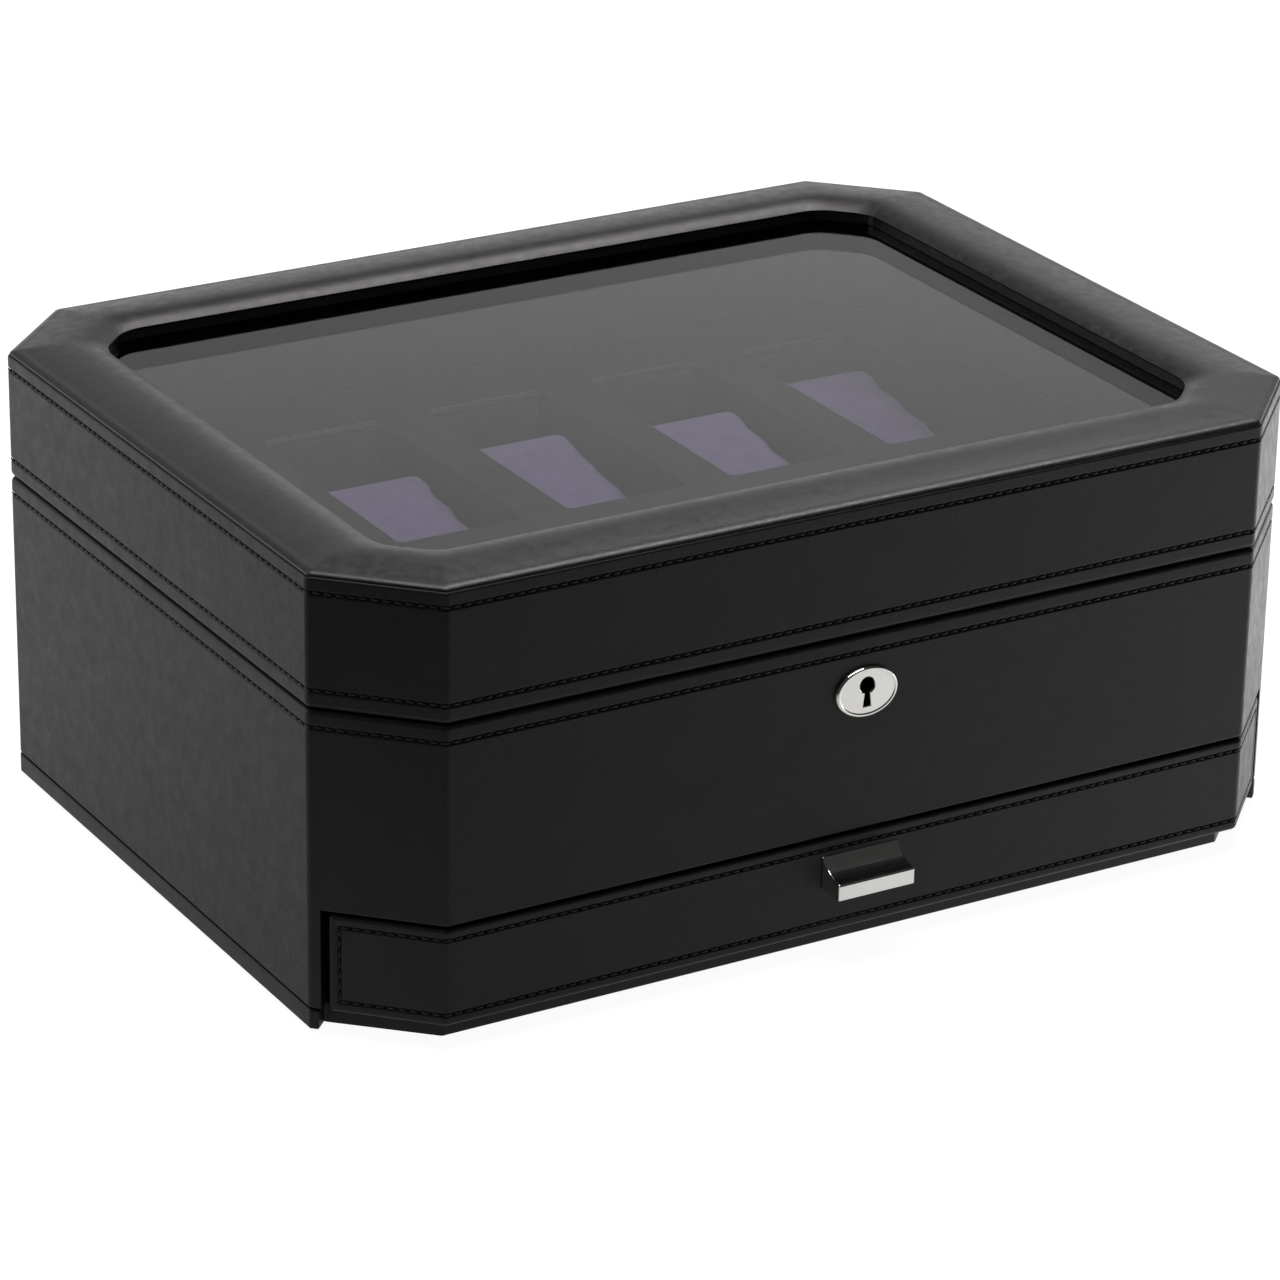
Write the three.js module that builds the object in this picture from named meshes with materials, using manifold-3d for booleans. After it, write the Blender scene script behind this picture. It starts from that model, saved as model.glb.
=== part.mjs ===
// Ten-well watch box: a leather-covered case with a glazed lid, a lock and a drawer underneath.
// Millimetres, +Z up, the front faces -Y, the origin is the centre of the underside.
import * as THREE from 'three';
import { mergeVertices } from 'three/addons/utils/BufferGeometryUtils.js';
import Module from 'manifold-3d';

const wasm = await Module();
wasm.setup();

// ---------------------------------------------------------------- driving dimensions
const WIDTH = 336;
const DEPTH = 260;
const CHAMFER = 29; // leg of the 45 degree cut at each upright corner
const WALL = 11; // covered thickness of the case and lid walls
const GAP = 0.3; // clearance between neighbouring pieces

// heights of the stack, bottom to top
const FELT_TOP = 1.2;
const BASE_TOP = 7.5;
const BASE_SETBACK = 6.5; // how far the base stays back under the drawer front
const WALL_FOOT = 7.8;
const DRAWER_FRONT_TOP = 38.5;
const FRONT_PANEL_FOOT = 39.3;
const SHELF_FOOT = 39.5;
const SHELF_TOP = 43.2;
const FLOOR_TOP = 44.3;
const TRAY_TOP = 96.5;
const CASE_TOP = 101.9;
const LID_FOOT = 102.4;
const RETAINER_FOOT = 131.2;
const GLASS_FOOT = 135.7;
const GLASS_TOP = 138.7;
const LID_WALL_TOP = 142.2;
const PAD_FOOT = 142.5;
const PAD_CREST = 145.2;

// window in the lid
const PAD_BORDER = 0.6; // strip of lid leather left bare outside the padding
const PAD_EDGE_RADIUS = 2;
const WINDOW = { hx: 140, hy: 103, leg: 12.6, radius: 6 };

// wells for the watch cushions
const COLUMNS = 5;
const WELL_WIDTH = 41.7;
const WELL_LENGTH = 92.6;
const WELL_RIB = 17.6; // rib between neighbouring wells

// watch cushion
const CUSHION_WIDTH = 38.4;
const CUSHION_LENGTH = 63;
const CUSHION_FRONT_TOP = 82;
const CUSHION_BACK_TOP = 91.5;
const CUSHION_RADIUS = 3;
// how far each cushion sits behind the middle of its well, left to right
const BACK_ROW_SHIFT = [-4, -13, -2.5, -10.5, 2.5];
const FRONT_ROW_SHIFT = [-8, 2, -10, -3, -11];

// drawer
const DRAWER_FRONT_THICKNESS = 9;
const RETURN_STRIP = 2.8; // case wall that wraps round the corner beside the drawer front
const DRAWER_FRONT_START = 6.2; // where the drawer front begins along the corner cut
const DRAWER_HALF_WIDTH = 146.5;
const DRAWER_BACK_Y = 105;
const DRAWER_SIDE = 6;
const DRAWER_SIDE_FOOT = 8.1;
const DRAWER_SIDE_TOP = 36;
const DRAWER_BOTTOM_FOOT = 9.5;
const DRAWER_BOTTOM_TOP = 12.5;
const LINING_THICKNESS = 1;
const GUIDE = { clearance: 0.5, front: -88, back: 93, top: 27.5 };
const POST = { end: 13, depth: 6, back: -92, clearance: 0.4 }; // wood behind the ends of the drawer front

// drawer pull
const PULL_WIDTH = 26.4;
const PULL_REACH = 10;
const PULL_FOOT = 22.6;
const PULL_TIP_TOP = 28.5;
const PULL_ROOT_TOP = 33.2;
const PULL_SCREW_X = 7;
const PULL_SCREW_Z = 26.2;
const PULL_SCREW_RADIUS = 1.8;

// lock
const LOCK_Z = 84; // centre of the oval plate
const PLATE_WIDTH = 21.4;
const PLATE_HEIGHT = 16.1;
const PLATE_THICKNESS = 1.4;
const KEYHOLE = { headRadius: 2.55, headZ: 86.1, neckHalf: 0.85, footHalf: 1.3, footZ: 79.5 };
const LOCK = { halfWidth: 15.7, front: -125.7, back: -119.05, foot: 68.5, top: 94.5 };
const KEY_CHAMBER_RADIUS = 4.5;
const BOLT = { front: -122.5, back: -120.3, foot: 76.5, top: 101.4 };
const BOLT_WIDTH = 10;
const BOLT_TRAVEL = 5;
const STRIKE = { halfWidth: 12, front: -124.7, back: -119.7, thickness: 1.3 };

// hinges
const HINGE_X = 95;
const HINGE_Y = 131.9;
const HINGE_Z = 102.15;
const HINGE_LENGTH = 40;
const KNUCKLE_HALF = 6.7; // half length of the lid's knuckle
const BARREL_RADIUS = 2.3;
const PIN_RADIUS = 1.1;
const LEAF_THICKNESS = 1.3;
const LEAF_REACH = 8; // how far a leaf lies on the wall edge
const HINGE_SCREW_X = 13;
const SCREW = { headRadius: 2.2, shankRadius: 1.1, headDepth: 1.1, length: 7, point: 1.4 };

const FRONT_Y = -DEPTH / 2;
const BACK_Y = DEPTH / 2;
const DIAGONAL = Math.SQRT1_2;

// ---------------------------------------------------------------- materials
function material(color, roughness, metalness = 0) {
  return new THREE.MeshStandardMaterial({ color, roughness, metalness });
}
const leather = () => material(0x1b1b1c, 0.55);
const gloss = () => material(0x0b0b0c, 0.2);
const felt = () => material(0x1c1a1e, 0.95);
const purple = () => material(0x5a4a72, 0.9);
const board = () => material(0x141416, 0.7);
const steel = () => material(0xd9d9d4, 0.18, 1);
const glass = () => material(0x9aa0a0, 0.05);

// ---------------------------------------------------------------- geometry helpers

// Closed mesh to manifold solid.
function solid(geometry) {
  const bare = geometry.clone();
  bare.deleteAttribute('normal');
  bare.deleteAttribute('uv');
  const merged = mergeVertices(bare, 1e-4);
  const vertProperties = new Float32Array(merged.attributes.position.array);
  const triVerts = new Uint32Array(merged.index.array);
  return new wasm.Manifold(new wasm.Mesh({ numProp: 3, vertProperties, triVerts }));
}

// Manifold solid back to a three.js geometry.
function geometryOf(manifold) {
  const mesh = manifold.getMesh();
  const geometry = new THREE.BufferGeometry();
  geometry.setAttribute('position', new THREE.BufferAttribute(mesh.vertProperties, 3));
  geometry.setIndex(new THREE.BufferAttribute(mesh.triVerts, 1));
  return geometry;
}

function cut(geometry, ...tools) {
  return geometryOf(tools.reduce((body, tool) => body.subtract(solid(tool)), solid(geometry)));
}

function join(...geometries) {
  const [first, ...others] = geometries.map(solid);
  return geometryOf(others.reduce((body, other) => body.add(other), first));
}

// Extrusion of a shape drawn in Y and Z, centred on x = 0.
function extrudeAlongX(shape, width, curveSegments) {
  const geometry = new THREE.ExtrudeGeometry(shape, { depth: width, bevelEnabled: false, curveSegments });
  // the drawn X becomes Y, the drawn Y becomes Z and the thickness runs along X
  const turn = new THREE.Matrix4().set(0, 0, 1, 0, 1, 0, 0, 0, 0, 1, 0, 0, 0, 0, 0, 1);
  return geometry.translate(0, 0, -width / 2).applyMatrix4(turn);
}

// Axis-aligned block between two corners.
function block(x0, x1, y0, y1, z0, z1) {
  const geometry = new THREE.BoxGeometry(x1 - x0, y1 - y0, z1 - z0);
  return geometry.translate((x0 + x1) / 2, (y0 + y1) / 2, (z0 + z1) / 2);
}

// Upright prism over a plan outline, with optional holes.
function prism(points, z0, z1, holes = []) {
  const shape = new THREE.Shape(points);
  shape.holes = holes.map((hole) => new THREE.Path(hole));
  const geometry = new THREE.ExtrudeGeometry(shape, { depth: z1 - z0, bevelEnabled: false });
  return geometry.translate(0, 0, z0);
}

// Upright cylinder.
function rod(radius, z0, z1, segments = 16) {
  const geometry = new THREE.CylinderGeometry(radius, radius, z1 - z0, segments);
  return geometry.rotateX(Math.PI / 2).translate(0, 0, (z0 + z1) / 2);
}

// Rod lying along X, and rod lying along Y.
function rodAlongX(radius, x0, x1, y, z, segments = 20) {
  return rod(radius, x0, x1, segments).rotateY(Math.PI / 2).translate(0, y, z);
}
function rodAlongY(radius, y0, y1, x, z, segments = 16) {
  return rod(radius, -y1, -y0, segments).rotateX(Math.PI / 2).translate(x, 0, z);
}

// Rectangle with 45 degree corner cuts, counter-clockwise; a radius softens each of its corners.
function cutRectangle(hx, hy, leg, radius = 0, steps = 3) {
  const corners = [
    [hx - leg, -hy], [hx, leg - hy], [hx, hy - leg], [hx - leg, hy],
    [leg - hx, hy], [-hx, hy - leg], [-hx, leg - hy], [leg - hx, -hy],
  ].map(([x, y]) => new THREE.Vector2(x, y));
  if (radius === 0) return corners;
  const turn = Math.PI / 4;
  const trim = radius * Math.tan(turn / 2);
  return corners.flatMap((corner, i) => {
    const before = corners.at(i - 1).clone().sub(corner).normalize();
    const after = corners[(i + 1) % corners.length].clone().sub(corner).normalize();
    const inward = before.clone().add(after).normalize();
    const centre = corner.clone().addScaledVector(inward, radius / Math.cos(turn / 2));
    const start = corner.clone().addScaledVector(before, trim).sub(centre).angle();
    return Array.from({ length: steps + 1 }, (_, k) => {
      const angle = start + (turn * k) / steps;
      const arm = new THREE.Vector2(Math.cos(angle), Math.sin(angle)).multiplyScalar(radius);
      return centre.clone().add(arm);
    });
  });
}

// The box's plan outline moved inwards by a distance.
function boxOutline(inset, radius = 0) {
  const leg = CHAMFER - inset * (2 - Math.SQRT2);
  return cutRectangle(WIDTH / 2 - inset, DEPTH / 2 - inset, leg, radius);
}

// Closed ring lofted through a loop of level outlines with the same number of points.
function loftRing(levels) {
  const count = levels[0].points.length;
  const position = levels.flatMap(({ points, z }) => points.flatMap((p) => [p.x, p.y, z]));
  const index = levels.flatMap((_, level) => {
    const here = level * count;
    const next = ((level + 1) % levels.length) * count;
    return levels[0].points.flatMap((__, i) => {
      const j = (i + 1) % count;
      return [here + i, here + j, next + j, here + i, next + j, next + i];
    });
  });
  const geometry = new THREE.BufferGeometry();
  geometry.setAttribute('position', new THREE.Float32BufferAttribute(position, 3));
  geometry.setIndex(index);
  return geometry;
}

// Point near the front right corner cut: s runs along the cut from the side corner, d goes inwards.
function cornerPoint(s, d) {
  const x = WIDTH / 2 - DIAGONAL * (s + d);
  const y = FRONT_Y + CHAMFER + DIAGONAL * (d - s);
  return new THREE.Vector2(x, y);
}

function mirrorX(points) {
  return points.map((p) => new THREE.Vector2(-p.x, p.y)).reverse();
}

function mirrorY(points) {
  return points.map((p) => new THREE.Vector2(p.x, -p.y)).reverse();
}

function add(group, name, geometry, finish) {
  const mesh = new THREE.Mesh(geometry, finish);
  mesh.name = name;
  group.add(mesh);
  return mesh;
}

// ---------------------------------------------------------------- walls

// Plan of the right wall: mitred against the corner cuts at both ends.
function sideWallPlan() {
  const outer = WIDTH / 2;
  const inner = outer - WALL;
  const outerEnd = DEPTH / 2 - CHAMFER;
  const innerEnd = outerEnd - WALL * Math.tan(Math.PI / 8);
  return [[inner, -innerEnd], [outer, -outerEnd], [outer, outerEnd], [inner, innerEnd]]
    .map(([x, y]) => new THREE.Vector2(x, y));
}

// Plan of the front wall with its two corner wings, mitred against the side walls.
function frontWallPlan() {
  const start = GAP / Math.cos(Math.PI / 8);
  const inner = boxOutline(WALL);
  const shift = new THREE.Vector2(DIAGONAL, DIAGONAL).multiplyScalar(start);
  const wingInner = inner[1].clone().sub(shift);
  const right = [inner[0], wingInner, cornerPoint(start, 0), boxOutline(0)[0]];
  return [...mirrorX(right), ...right].reverse();
}

// Wooden post behind the end of the drawer front, with the strip that wraps the corner.
function cornerPost() {
  const face = DRAWER_FRONT_THICKNESS + POST.clearance;
  const plan = [
    cornerPoint(0, 0),
    cornerPoint(RETURN_STRIP, 0),
    cornerPoint(RETURN_STRIP, face),
    cornerPoint(POST.end, face),
    cornerPoint(POST.end, face + POST.depth),
    new THREE.Vector2(WIDTH / 2 - WALL, POST.back),
  ];
  return plan.reverse();
}

function caseSide(mirror) {
  const wall = prism(mirror(sideWallPlan()), WALL_FOOT, CASE_TOP);
  const post = prism(mirror(cornerPost()), WALL_FOOT, FRONT_PANEL_FOOT - POST.clearance);
  return join(wall, post);
}

// ---------------------------------------------------------------- case

// Keyhole: a round head above a flared slot, drawn in X and Z.
function keyholeShape(grow = 0) {
  const { headRadius, headZ, neckHalf, footHalf, footZ } = KEYHOLE;
  const radius = headRadius + grow;
  const meet = Math.asin((neckHalf + grow) / radius);
  const shape = new THREE.Shape();
  shape.moveTo(-footHalf - grow, footZ - grow);
  shape.lineTo(footHalf + grow, footZ - grow);
  shape.absarc(0, headZ, radius, meet - Math.PI / 2, 1.5 * Math.PI - meet, false);
  return shape;
}

// Stands a shape drawn in X and Z upright and gives it thickness from y0 to y1.
function plateAlongY(shape, y0, y1, options = {}) {
  const settings = { depth: y1 - y0, bevelEnabled: false, curveSegments: 8, ...options };
  const geometry = new THREE.ExtrudeGeometry(shape, settings);
  return geometry.rotateX(Math.PI / 2).translate(0, y1, 0);
}

function lockBoltChannel(z0, z1) {
  const half = BOLT_WIDTH / 2 + GAP;
  return block(-half, half, BOLT.front - GAP, BOLT.back + GAP, z0, z1);
}

function frontPanel() {
  const panel = prism(frontWallPlan(), FRONT_PANEL_FOOT, CASE_TOP);
  const half = LOCK.halfWidth + GAP;
  const innerFace = FRONT_Y + WALL + 1;
  const pocket = block(-half, half, LOCK.front - GAP, innerFace, LOCK.foot - GAP, LOCK.top + GAP);
  const opening = plateAlongY(keyholeShape(0.4), FRONT_Y - 1, LOCK.front + 1);
  return cut(panel, pocket, opening, lockBoltChannel(LOCK.top, CASE_TOP + 1));
}

function lockCase() {
  const { halfWidth, front, back, foot, top } = LOCK;
  const shell = block(-halfWidth, halfWidth, front, back, foot, top);
  const keyChamber = rodAlongY(KEY_CHAMBER_RADIUS, front - 1, BOLT.front, 0, LOCK_Z);
  return cut(shell, lockBoltChannel(BOLT.foot - GAP, top + 1), keyChamber);
}

// Oval plate with a bevelled rim and the keyhole.
function escutcheon() {
  const bevel = 0.7;
  const contact = FRONT_Y - GAP / 6; // the plate's back, a hair off the leather
  const oval = new THREE.Shape();
  oval.absellipse(0, LOCK_Z, PLATE_WIDTH / 2 - bevel, PLATE_HEIGHT / 2 - bevel, 0, 2 * Math.PI);
  const outline = new THREE.Shape(oval.getPoints(36).slice(0, -1));
  const plate = plateAlongY(outline, FRONT_Y - PLATE_THICKNESS, FRONT_Y, {
    depth: PLATE_THICKNESS - bevel,
    bevelEnabled: true,
    bevelThickness: bevel,
    bevelSize: bevel,
    bevelSegments: 2,
  });
  const placed = plate.translate(0, contact - FRONT_Y, 0);
  const backCut = block(
    -PLATE_WIDTH, PLATE_WIDTH, contact, FRONT_Y + 5, LOCK_Z - PLATE_HEIGHT, LOCK_Z + PLATE_HEIGHT,
  );
  const keyhole = plateAlongY(keyholeShape(), FRONT_Y - 5, FRONT_Y + 2);
  return cut(placed, backCut, keyhole);
}

// Board under everything; its front edge is set back under the drawer front.
function basePlan() {
  const back = boxOutline(0).slice(2, 6);
  const stripDepth = BASE_SETBACK - 1;
  const frontCorner = boxOutline(BASE_SETBACK)[0];
  const right = [
    frontCorner, cornerPoint(RETURN_STRIP, stripDepth), cornerPoint(RETURN_STRIP, 0), cornerPoint(0, 0),
  ];
  return [...right, ...back, ...mirrorX(right)];
}

const WELL_PITCH = WELL_WIDTH + WELL_RIB;
const WELL_CENTRE_Y = (WELL_LENGTH + WELL_RIB) / 2;
const wells = [-1, 1].flatMap((row) =>
  Array.from({ length: COLUMNS }, (_, column) => ({
    x: (column - (COLUMNS - 1) / 2) * WELL_PITCH,
    y: row * WELL_CENTRE_Y,
    row: row < 0 ? 'front' : 'back',
    column: column + 1,
    shift: (row < 0 ? FRONT_ROW_SHIFT : BACK_ROW_SHIFT)[column],
  })),
);

function trayFrame() {
  const well = block(-WELL_WIDTH / 2, WELL_WIDTH / 2, -WELL_LENGTH / 2, WELL_LENGTH / 2, 0, TRAY_TOP + 1);
  const holes = wells.map(({ x, y }) => well.clone().translate(x, y, 0));
  return cut(prism(boxOutline(WALL + GAP), FLOOR_TOP + 0.1, TRAY_TOP), ...holes);
}

function buildCase(group) {
  add(group, 'base_felt', prism(boxOutline(9), 0, FELT_TOP), felt());
  add(group, 'base_board', prism(basePlan(), FELT_TOP, BASE_TOP), leather());
  add(group, 'side_panel_right', caseSide((points) => points), leather());
  add(group, 'side_panel_left', caseSide(mirrorX), leather());
  add(group, 'front_panel', frontPanel(), leather());
  const backWall = prism(mirrorY(frontWallPlan()), WALL_FOOT, CASE_TOP);
  const mortised = hingeMortise(backWall, CASE_TOP - LEAF_THICKNESS - 0.2, CASE_TOP + 1, -1);
  add(group, 'back_panel', mortised, leather());
  add(group, 'shelf_board', prism(boxOutline(WALL + GAP), SHELF_FOOT, SHELF_TOP), board());
  add(group, 'floor_lining', prism(boxOutline(WALL + GAP), SHELF_TOP + 0.1, FLOOR_TOP), purple());
  add(group, 'tray_frame', trayFrame(), leather());
  add(group, 'lock_case', lockCase(), steel());
  add(group, 'escutcheon', escutcheon(), steel());
  const near = DRAWER_HALF_WIDTH + GUIDE.clearance;
  const far = WIDTH / 2 - WALL - GAP;
  const guide = (x0, x1) => block(x0, x1, GUIDE.front, GUIDE.back, WALL_FOOT, GUIDE.top);
  add(group, 'drawer_guide_right', guide(near, far), board());
  add(group, 'drawer_guide_left', guide(-far, -near), board());
}

// ---------------------------------------------------------------- lock bolt and cushions
function lockBolt() {
  return block(-BOLT_WIDTH / 2, BOLT_WIDTH / 2, BOLT.front, BOLT.back, BOLT.foot, BOLT.top);
}

// Cushion: a rounded block whose top rises towards the back, drawn in Y and Z.
function cushion() {
  const half = CUSHION_LENGTH / 2;
  const foot = FLOOR_TOP + 0.1;
  const corners = [
    [-half, foot], [half, foot], [half, CUSHION_BACK_TOP], [-half, CUSHION_FRONT_TOP],
  ].map(([y, z]) => new THREE.Vector2(y, z));
  const shape = new THREE.Shape();
  const towards = (corner, other) =>
    other.clone().sub(corner).normalize().multiplyScalar(CUSHION_RADIUS).add(corner);
  corners.forEach((corner, i) => {
    const before = towards(corner, corners.at(i - 1));
    const after = towards(corner, corners[(i + 1) % corners.length]);
    if (i === 0) shape.moveTo(before.x, before.y);
    else shape.lineTo(before.x, before.y);
    shape.quadraticCurveTo(corner.x, corner.y, after.x, after.y);
  });
  shape.closePath();
  return extrudeAlongX(shape, CUSHION_WIDTH, 5);
}

function buildCushions(group) {
  for (const { x, y, row, column, shift } of wells) {
    const mesh = add(group, `cushion_${row}_${column}`, cushion(), purple());
    mesh.position.set(x, y + shift, 0);
  }
}

// ---------------------------------------------------------------- hinges

// Shallow pocket for each hinge leaf in the edge of a wall, with holes for its screws.
function hingeMortise(wall, z0, z1, down) {
  const half = HINGE_LENGTH / 2 + GAP;
  const pilot = rod(SCREW.shankRadius + 0.2, HINGE_Z - 10, HINGE_Z + 10, 12);
  const pilotY = BACK_Y - LEAF_REACH / 2;
  const tools = [-HINGE_X, HINGE_X].flatMap((x) => [
    block(x - half, x + half, BACK_Y - LEAF_REACH - GAP, BACK_Y + 1, z0, z1),
    pilot.clone().translate(x - HINGE_SCREW_X, pilotY, down * 5),
    pilot.clone().translate(x + HINGE_SCREW_X, pilotY, down * 5),
  ]);
  return cut(wall, ...tools);
}

// One leaf of a hinge about its own centre; side is -1 for the case leaf and +1 for the lid leaf.
function hingeLeaf(side) {
  const half = HINGE_LENGTH / 2;
  const plateEdge = HINGE_Y - BARREL_RADIUS - GAP;
  const near = HINGE_Z + side * 0.05;
  const far = near + side * LEAF_THICKNESS;
  const z0 = Math.min(near, far);
  const z1 = Math.max(near, far);
  const outerSpans = [[-half, -KNUCKLE_HALF - GAP], [KNUCKLE_HALF + GAP, half]];
  const spans = side < 0 ? outerSpans : [[-KNUCKLE_HALF, KNUCKLE_HALF]];
  const bodies = spans.flatMap(([x0, x1]) => [
    rodAlongX(BARREL_RADIUS, x0, x1, HINGE_Y, HINGE_Z),
    block(x0, x1, plateEdge - 1, HINGE_Y, z0, z1),
  ]);
  const plate = block(-half, half, BACK_Y - LEAF_REACH, plateEdge, z0, z1);
  const bore = rodAlongX(PIN_RADIUS + 0.1, -half - 1, half + 1, HINGE_Y, HINGE_Z);
  const screwHoles = [-HINGE_SCREW_X, HINGE_SCREW_X].map((x) =>
    screw(0.1).rotateX(side < 0 ? 0 : Math.PI).translate(x, BACK_Y - LEAF_REACH / 2, near));
  return cut(join(plate, ...bodies), bore, ...screwHoles);
}

// Countersunk screw with its head at z = 0 and its shank pointing down.
function screw(grow = 0) {
  const headRadius = SCREW.headRadius + grow;
  const shankRadius = SCREW.shankRadius + grow;
  const face = grow - 0.05;
  const profile = [
    [0, -SCREW.length],
    [shankRadius, SCREW.point - SCREW.length],
    [shankRadius, -SCREW.headDepth],
    [headRadius, face],
    [0, face],
  ].map(([r, z]) => new THREE.Vector2(r, z));
  return new THREE.LatheGeometry(profile, 12).rotateX(Math.PI / 2);
}

function buildHinges(caseGroup, lidGroup) {
  for (const [sideName, x] of [['left', -HINGE_X], ['right', HINGE_X]]) {
    add(caseGroup, `hinge_leaf_case_${sideName}`, hingeLeaf(-1), steel()).position.x = x;
    add(lidGroup, `hinge_leaf_lid_${sideName}`, hingeLeaf(1), steel()).position.x = x;
    const half = HINGE_LENGTH / 2 - 0.4;
    const pin = rodAlongX(PIN_RADIUS, -half, half, HINGE_Y, HINGE_Z, 16);
    add(caseGroup, `hinge_pin_${sideName}`, pin, steel()).position.x = x;
    const outward = Math.sign(x) * HINGE_SCREW_X;
    for (const [end, dx] of [['outer', outward], ['inner', -outward]]) {
      const y = BACK_Y - LEAF_REACH / 2;
      const low = add(caseGroup, `hinge_screw_case_${sideName}_${end}`, screw(), steel());
      low.position.set(x + dx, y, HINGE_Z - 0.05);
      const high = add(lidGroup, `hinge_screw_lid_${sideName}_${end}`, screw(), steel());
      high.position.set(x + dx, y, HINGE_Z + 0.05);
      high.rotation.x = Math.PI;
    }
  }
}

// ---------------------------------------------------------------- lid

// Outline part of the way across the padding, from its outer edge (0) to the window (1).
function railOutline(t) {
  const mix = (from, to) => THREE.MathUtils.lerp(from, to, t);
  const hx = mix(WIDTH / 2 - PAD_BORDER, WINDOW.hx);
  const hy = mix(DEPTH / 2 - PAD_BORDER, WINDOW.hy);
  const outerLeg = CHAMFER - PAD_BORDER * (2 - Math.SQRT2);
  return cutRectangle(hx, hy, mix(outerLeg, WINDOW.leg), mix(PAD_EDGE_RADIUS, WINDOW.radius));
}

// Padded frame: an upright edge outside, a low crowned roll and a rounded rim at the window.
function topPad() {
  const shoulder = PAD_FOOT + 0.6;
  const profile = [[0, PAD_FOOT], [0, shoulder]];
  const crownSteps = 8;
  for (let k = 1; k < crownSteps; k += 1) {
    const t = k / crownSteps;
    const rise = 1 - (2 * t - 1) ** 2;
    profile.push([t, shoulder + (PAD_CREST - shoulder) * rise ** 0.8]);
  }
  profile.push([1, shoulder], [1, PAD_FOOT]);
  return loftRing(profile.map(([t, z]) => ({ points: railOutline(t), z })));
}

function windowOutline(grow) {
  const { hx, hy, leg, radius } = WINDOW;
  return cutRectangle(hx + grow, hy + grow, leg + grow * (2 - Math.SQRT2), radius);
}

function lidFrontRail() {
  const rail = prism(frontWallPlan(), LID_FOOT, LID_WALL_TOP);
  const half = STRIKE.halfWidth + GAP;
  const depth = LID_FOOT + 0.1 + STRIKE.thickness + GAP / 2;
  const strikePocket = block(-half, half, STRIKE.front - GAP, STRIKE.back + GAP, LID_FOOT - 1, depth);
  return cut(rail, strikePocket, lockBoltChannel(LID_FOOT, LID_FOOT + BOLT_TRAVEL + 1));
}

function strikePlate() {
  const foot = LID_FOOT + 0.1;
  const { halfWidth, front, back, thickness } = STRIKE;
  const plate = block(-halfWidth, halfWidth, front, back, foot, foot + thickness);
  return cut(plate, lockBoltChannel(LID_FOOT - 1, LID_FOOT + 3));
}

function buildLid(group) {
  add(group, 'lid_rail_front', lidFrontRail(), leather());
  const backRail = prism(mirrorY(frontWallPlan()), LID_FOOT, LID_WALL_TOP);
  const mortised = hingeMortise(backRail, LID_FOOT - 1, LID_FOOT + LEAF_THICKNESS + 0.2, 1);
  add(group, 'lid_rail_back', mortised, leather());
  add(group, 'lid_rail_right', prism(sideWallPlan(), LID_FOOT, LID_WALL_TOP), leather());
  add(group, 'lid_rail_left', prism(mirrorX(sideWallPlan()), LID_FOOT, LID_WALL_TOP), leather());
  const boardOutline = boxOutline(WALL + GAP);
  const windowHole = windowOutline(0).reverse();
  add(group, 'window_frame', prism(boardOutline, GLASS_TOP + 0.2, LID_WALL_TOP, [windowHole]), gloss());
  add(group, 'top_pad', topPad(), leather());
  add(group, 'glass_pane', prism(boxOutline(WALL + 1), GLASS_FOOT, GLASS_TOP), glass());
  const retainerHole = windowOutline(2).reverse();
  const retainer = prism(boardOutline, RETAINER_FOOT, GLASS_FOOT - 0.2, [retainerHole]);
  add(group, 'glass_retainer', retainer, board());
  add(group, 'strike_plate', strikePlate(), steel());
}

// ---------------------------------------------------------------- drawer

// Drawer front: one face across the box and a wing along each corner cut.
function drawerFront() {
  const inner = boxOutline(DRAWER_FRONT_THICKNESS)[0];
  const right = [
    inner,
    cornerPoint(DRAWER_FRONT_START, DRAWER_FRONT_THICKNESS),
    cornerPoint(DRAWER_FRONT_START, 0),
    boxOutline(0)[0],
  ];
  const plan = [...mirrorX(right), ...right].reverse();
  const inside = FRONT_Y + DRAWER_FRONT_THICKNESS + 1;
  const holes = [-PULL_SCREW_X, PULL_SCREW_X].map((x) =>
    rodAlongY(PULL_SCREW_RADIUS + GAP, FRONT_Y - 1, inside, x, PULL_SCREW_Z));
  return cut(prism(plan, WALL_FOOT, DRAWER_FRONT_TOP), ...holes);
}

// Pull: a wedge with a flat underside and a hollowed top, drawn in Y and Z.
function drawerPull() {
  const root = FRONT_Y - 0.05;
  const tip = FRONT_Y - PULL_REACH;
  const shape = new THREE.Shape();
  shape.moveTo(root, PULL_FOOT);
  shape.lineTo(root, PULL_ROOT_TOP);
  shape.quadraticCurveTo(root - PULL_REACH * 0.35, PULL_TIP_TOP + 0.4, tip + 1, PULL_TIP_TOP);
  shape.lineTo(tip, PULL_TIP_TOP - 0.4);
  shape.lineTo(tip, PULL_FOOT);
  shape.closePath();
  const blindHoles = [-PULL_SCREW_X, PULL_SCREW_X].map((x) =>
    rodAlongY(PULL_SCREW_RADIUS + 0.2, FRONT_Y - 6, FRONT_Y + 1, x, PULL_SCREW_Z));
  return cut(extrudeAlongX(shape, PULL_WIDTH, 8), ...blindHoles);
}

// Pan-head screw that holds the pull from inside the drawer.
function pullScrew() {
  const innerFace = FRONT_Y + DRAWER_FRONT_THICKNESS;
  const shank = rodAlongY(PULL_SCREW_RADIUS, FRONT_Y - 5.5, innerFace + 0.5, 0, PULL_SCREW_Z);
  const head = rodAlongY(3.4, innerFace + 0.1, innerFace + 2, 0, PULL_SCREW_Z);
  return join(shank, head);
}

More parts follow.
